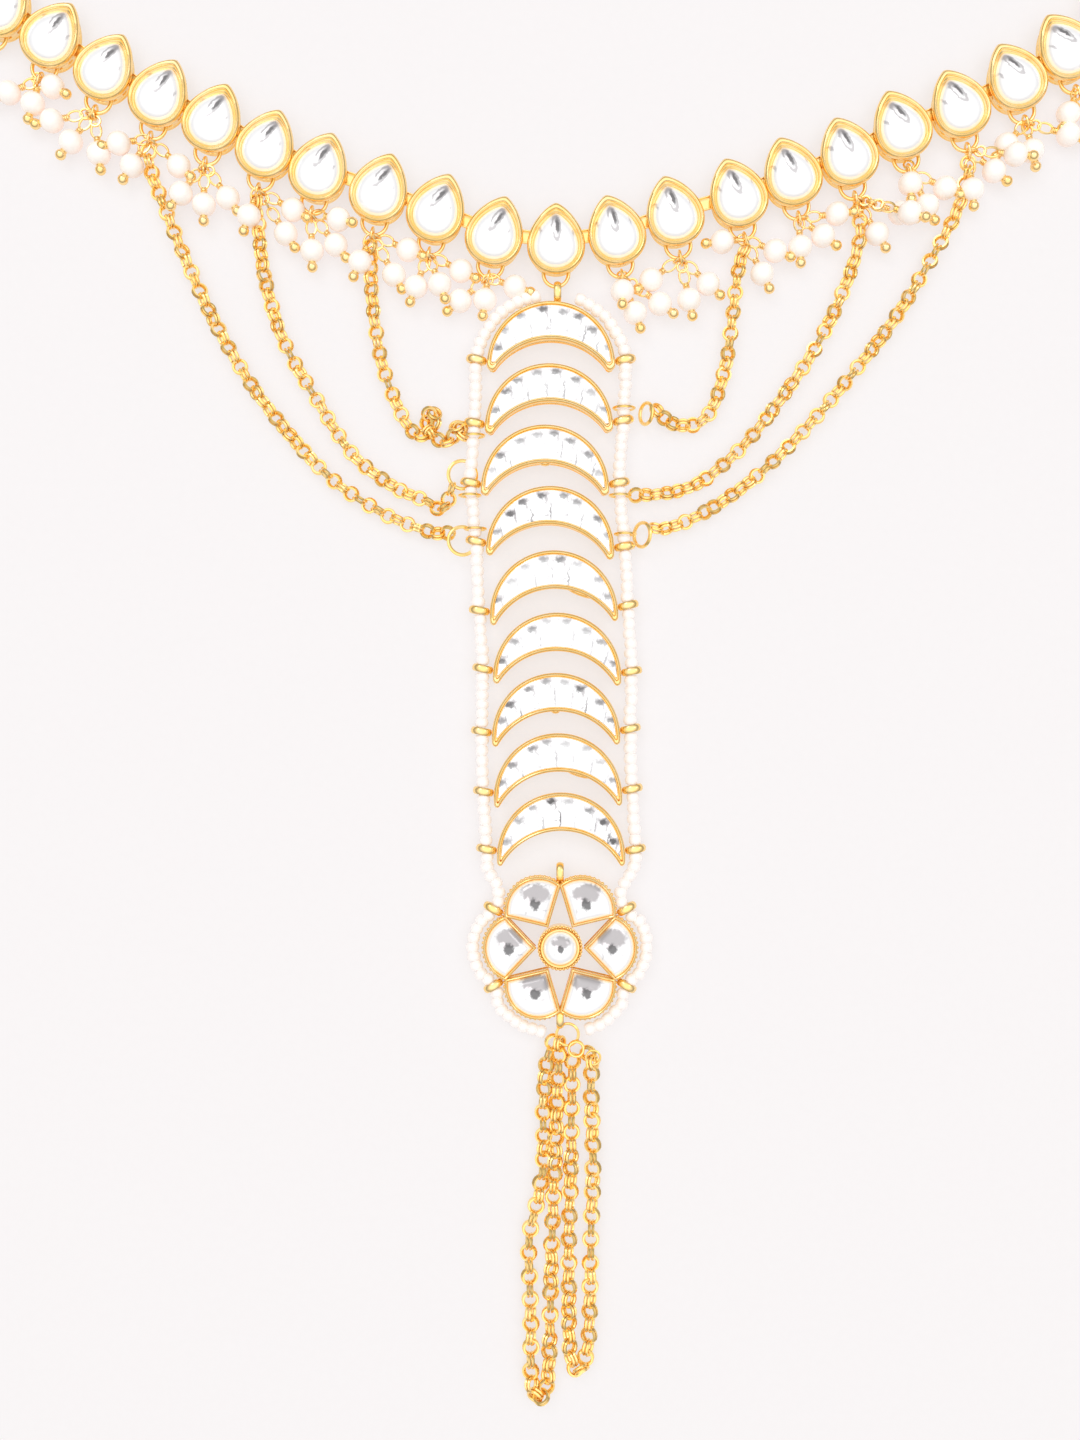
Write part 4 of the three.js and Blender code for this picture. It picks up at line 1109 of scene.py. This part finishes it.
def along_clasp(reach):
    """A point on the clasp's axis, so far from its middle."""
    return np.array([CLASP_X + reach * math.cos(CLASP_TURN),
                     CLASP_Y + reach * math.sin(CLASP_TURN), EYE_HEIGHT])


left_end, right_end = end_ring(PLACES["left"][-1]), end_ring(PLACES["right"][-1])
clasp_eye = along_clasp(-CLASP_LENGTH / 2 - EYE_TO_RING)
closing_route = [(left_end[0] - 0.56, left_end[1] + 0.42, EYE_HEIGHT)] + [
    (px, py, REST) for px, py in (
        (left_end[0] - 1.9, left_end[1] + 4), (left_end[0] - 0.2, CLOSING_HEIGHT - 2),
        (left_end[0] + 4, CLOSING_HEIGHT), (-46, CLOSING_HEIGHT + 0.4), (-30, CLOSING_HEIGHT),
        (-15, CLOSING_HEIGHT + 0.3), (0, CLOSING_HEIGHT), (15, CLOSING_HEIGHT + 0.3),
        (30, CLOSING_HEIGHT), (44, CLOSING_HEIGHT + 0.6), (50, CLOSING_HEIGHT + 0.8))
] + [clasp_eye + (-0.63, 0.28, 0)]
closing = [chain(closing_route, LINK_RADIUS, LINK_WIRE, LINK_PITCH, LINK_SPLIT, draws)]
for spot in (left_end, clasp_eye):
    closing.append(ring(JUMP_RADIUS, JUMP_WIRE, 28, 8).placed(*spot))
for place in (PLACES["left"][-1], PLACES["right"][-1]):
    reach = math.copysign(PEAR_WIDTH / 2 + 0.7, place[2])
    closing.append(lug(math.pi / 2).placed(reach, 0, EYE_HEIGHT).placed(
        place[0], place[1], turn=place[2]))
make("closing_chain_links", closing, chain_gold, ["closing_chain"])

barrel_profile = [(0.5, 0), (0.85, 0.05), (1.05, 0.3), (1.1, 0.5), (1.02, 0.62), (1.1, 0.74),
                  (1.1, 2.2), (1.0, 2.3), (1.1, 2.4), (1.1, 3.86), (1.02, 3.98), (1.1, 4.1),
                  (1.05, 4.3), (0.85, 4.55), (0.5, 4.6)]
turns = full_turn(28)
barrel = skin([np.column_stack([np.full(28, h - CLASP_LENGTH / 2), r * np.cos(turns),
                                r * np.sin(turns)]) for r, h in barrel_profile])
hook = right_end + (0.35, 0.6, 0)
front = along_clasp(CLASP_LENGTH / 2 - 0.2)
clasp_forms = [
    barrel.placed(CLASP_X, CLASP_Y, EYE_HEIGHT, CLASP_TURN),
    lug(math.pi / 2).placed(-(CLASP_LENGTH / 2 + 0.7), 0, EYE_HEIGHT).placed(
        CLASP_X, CLASP_Y, turn=CLASP_TURN),
    ring(JUMP_RADIUS, JUMP_WIRE, 28, 8).placed(*right_end),
    wire(smooth_path([hook, (hook + front) / 2, front], 0.4), 0.25, 8)]
make("clasp_barrel", clasp_forms, setting_gold, ["clasp"])
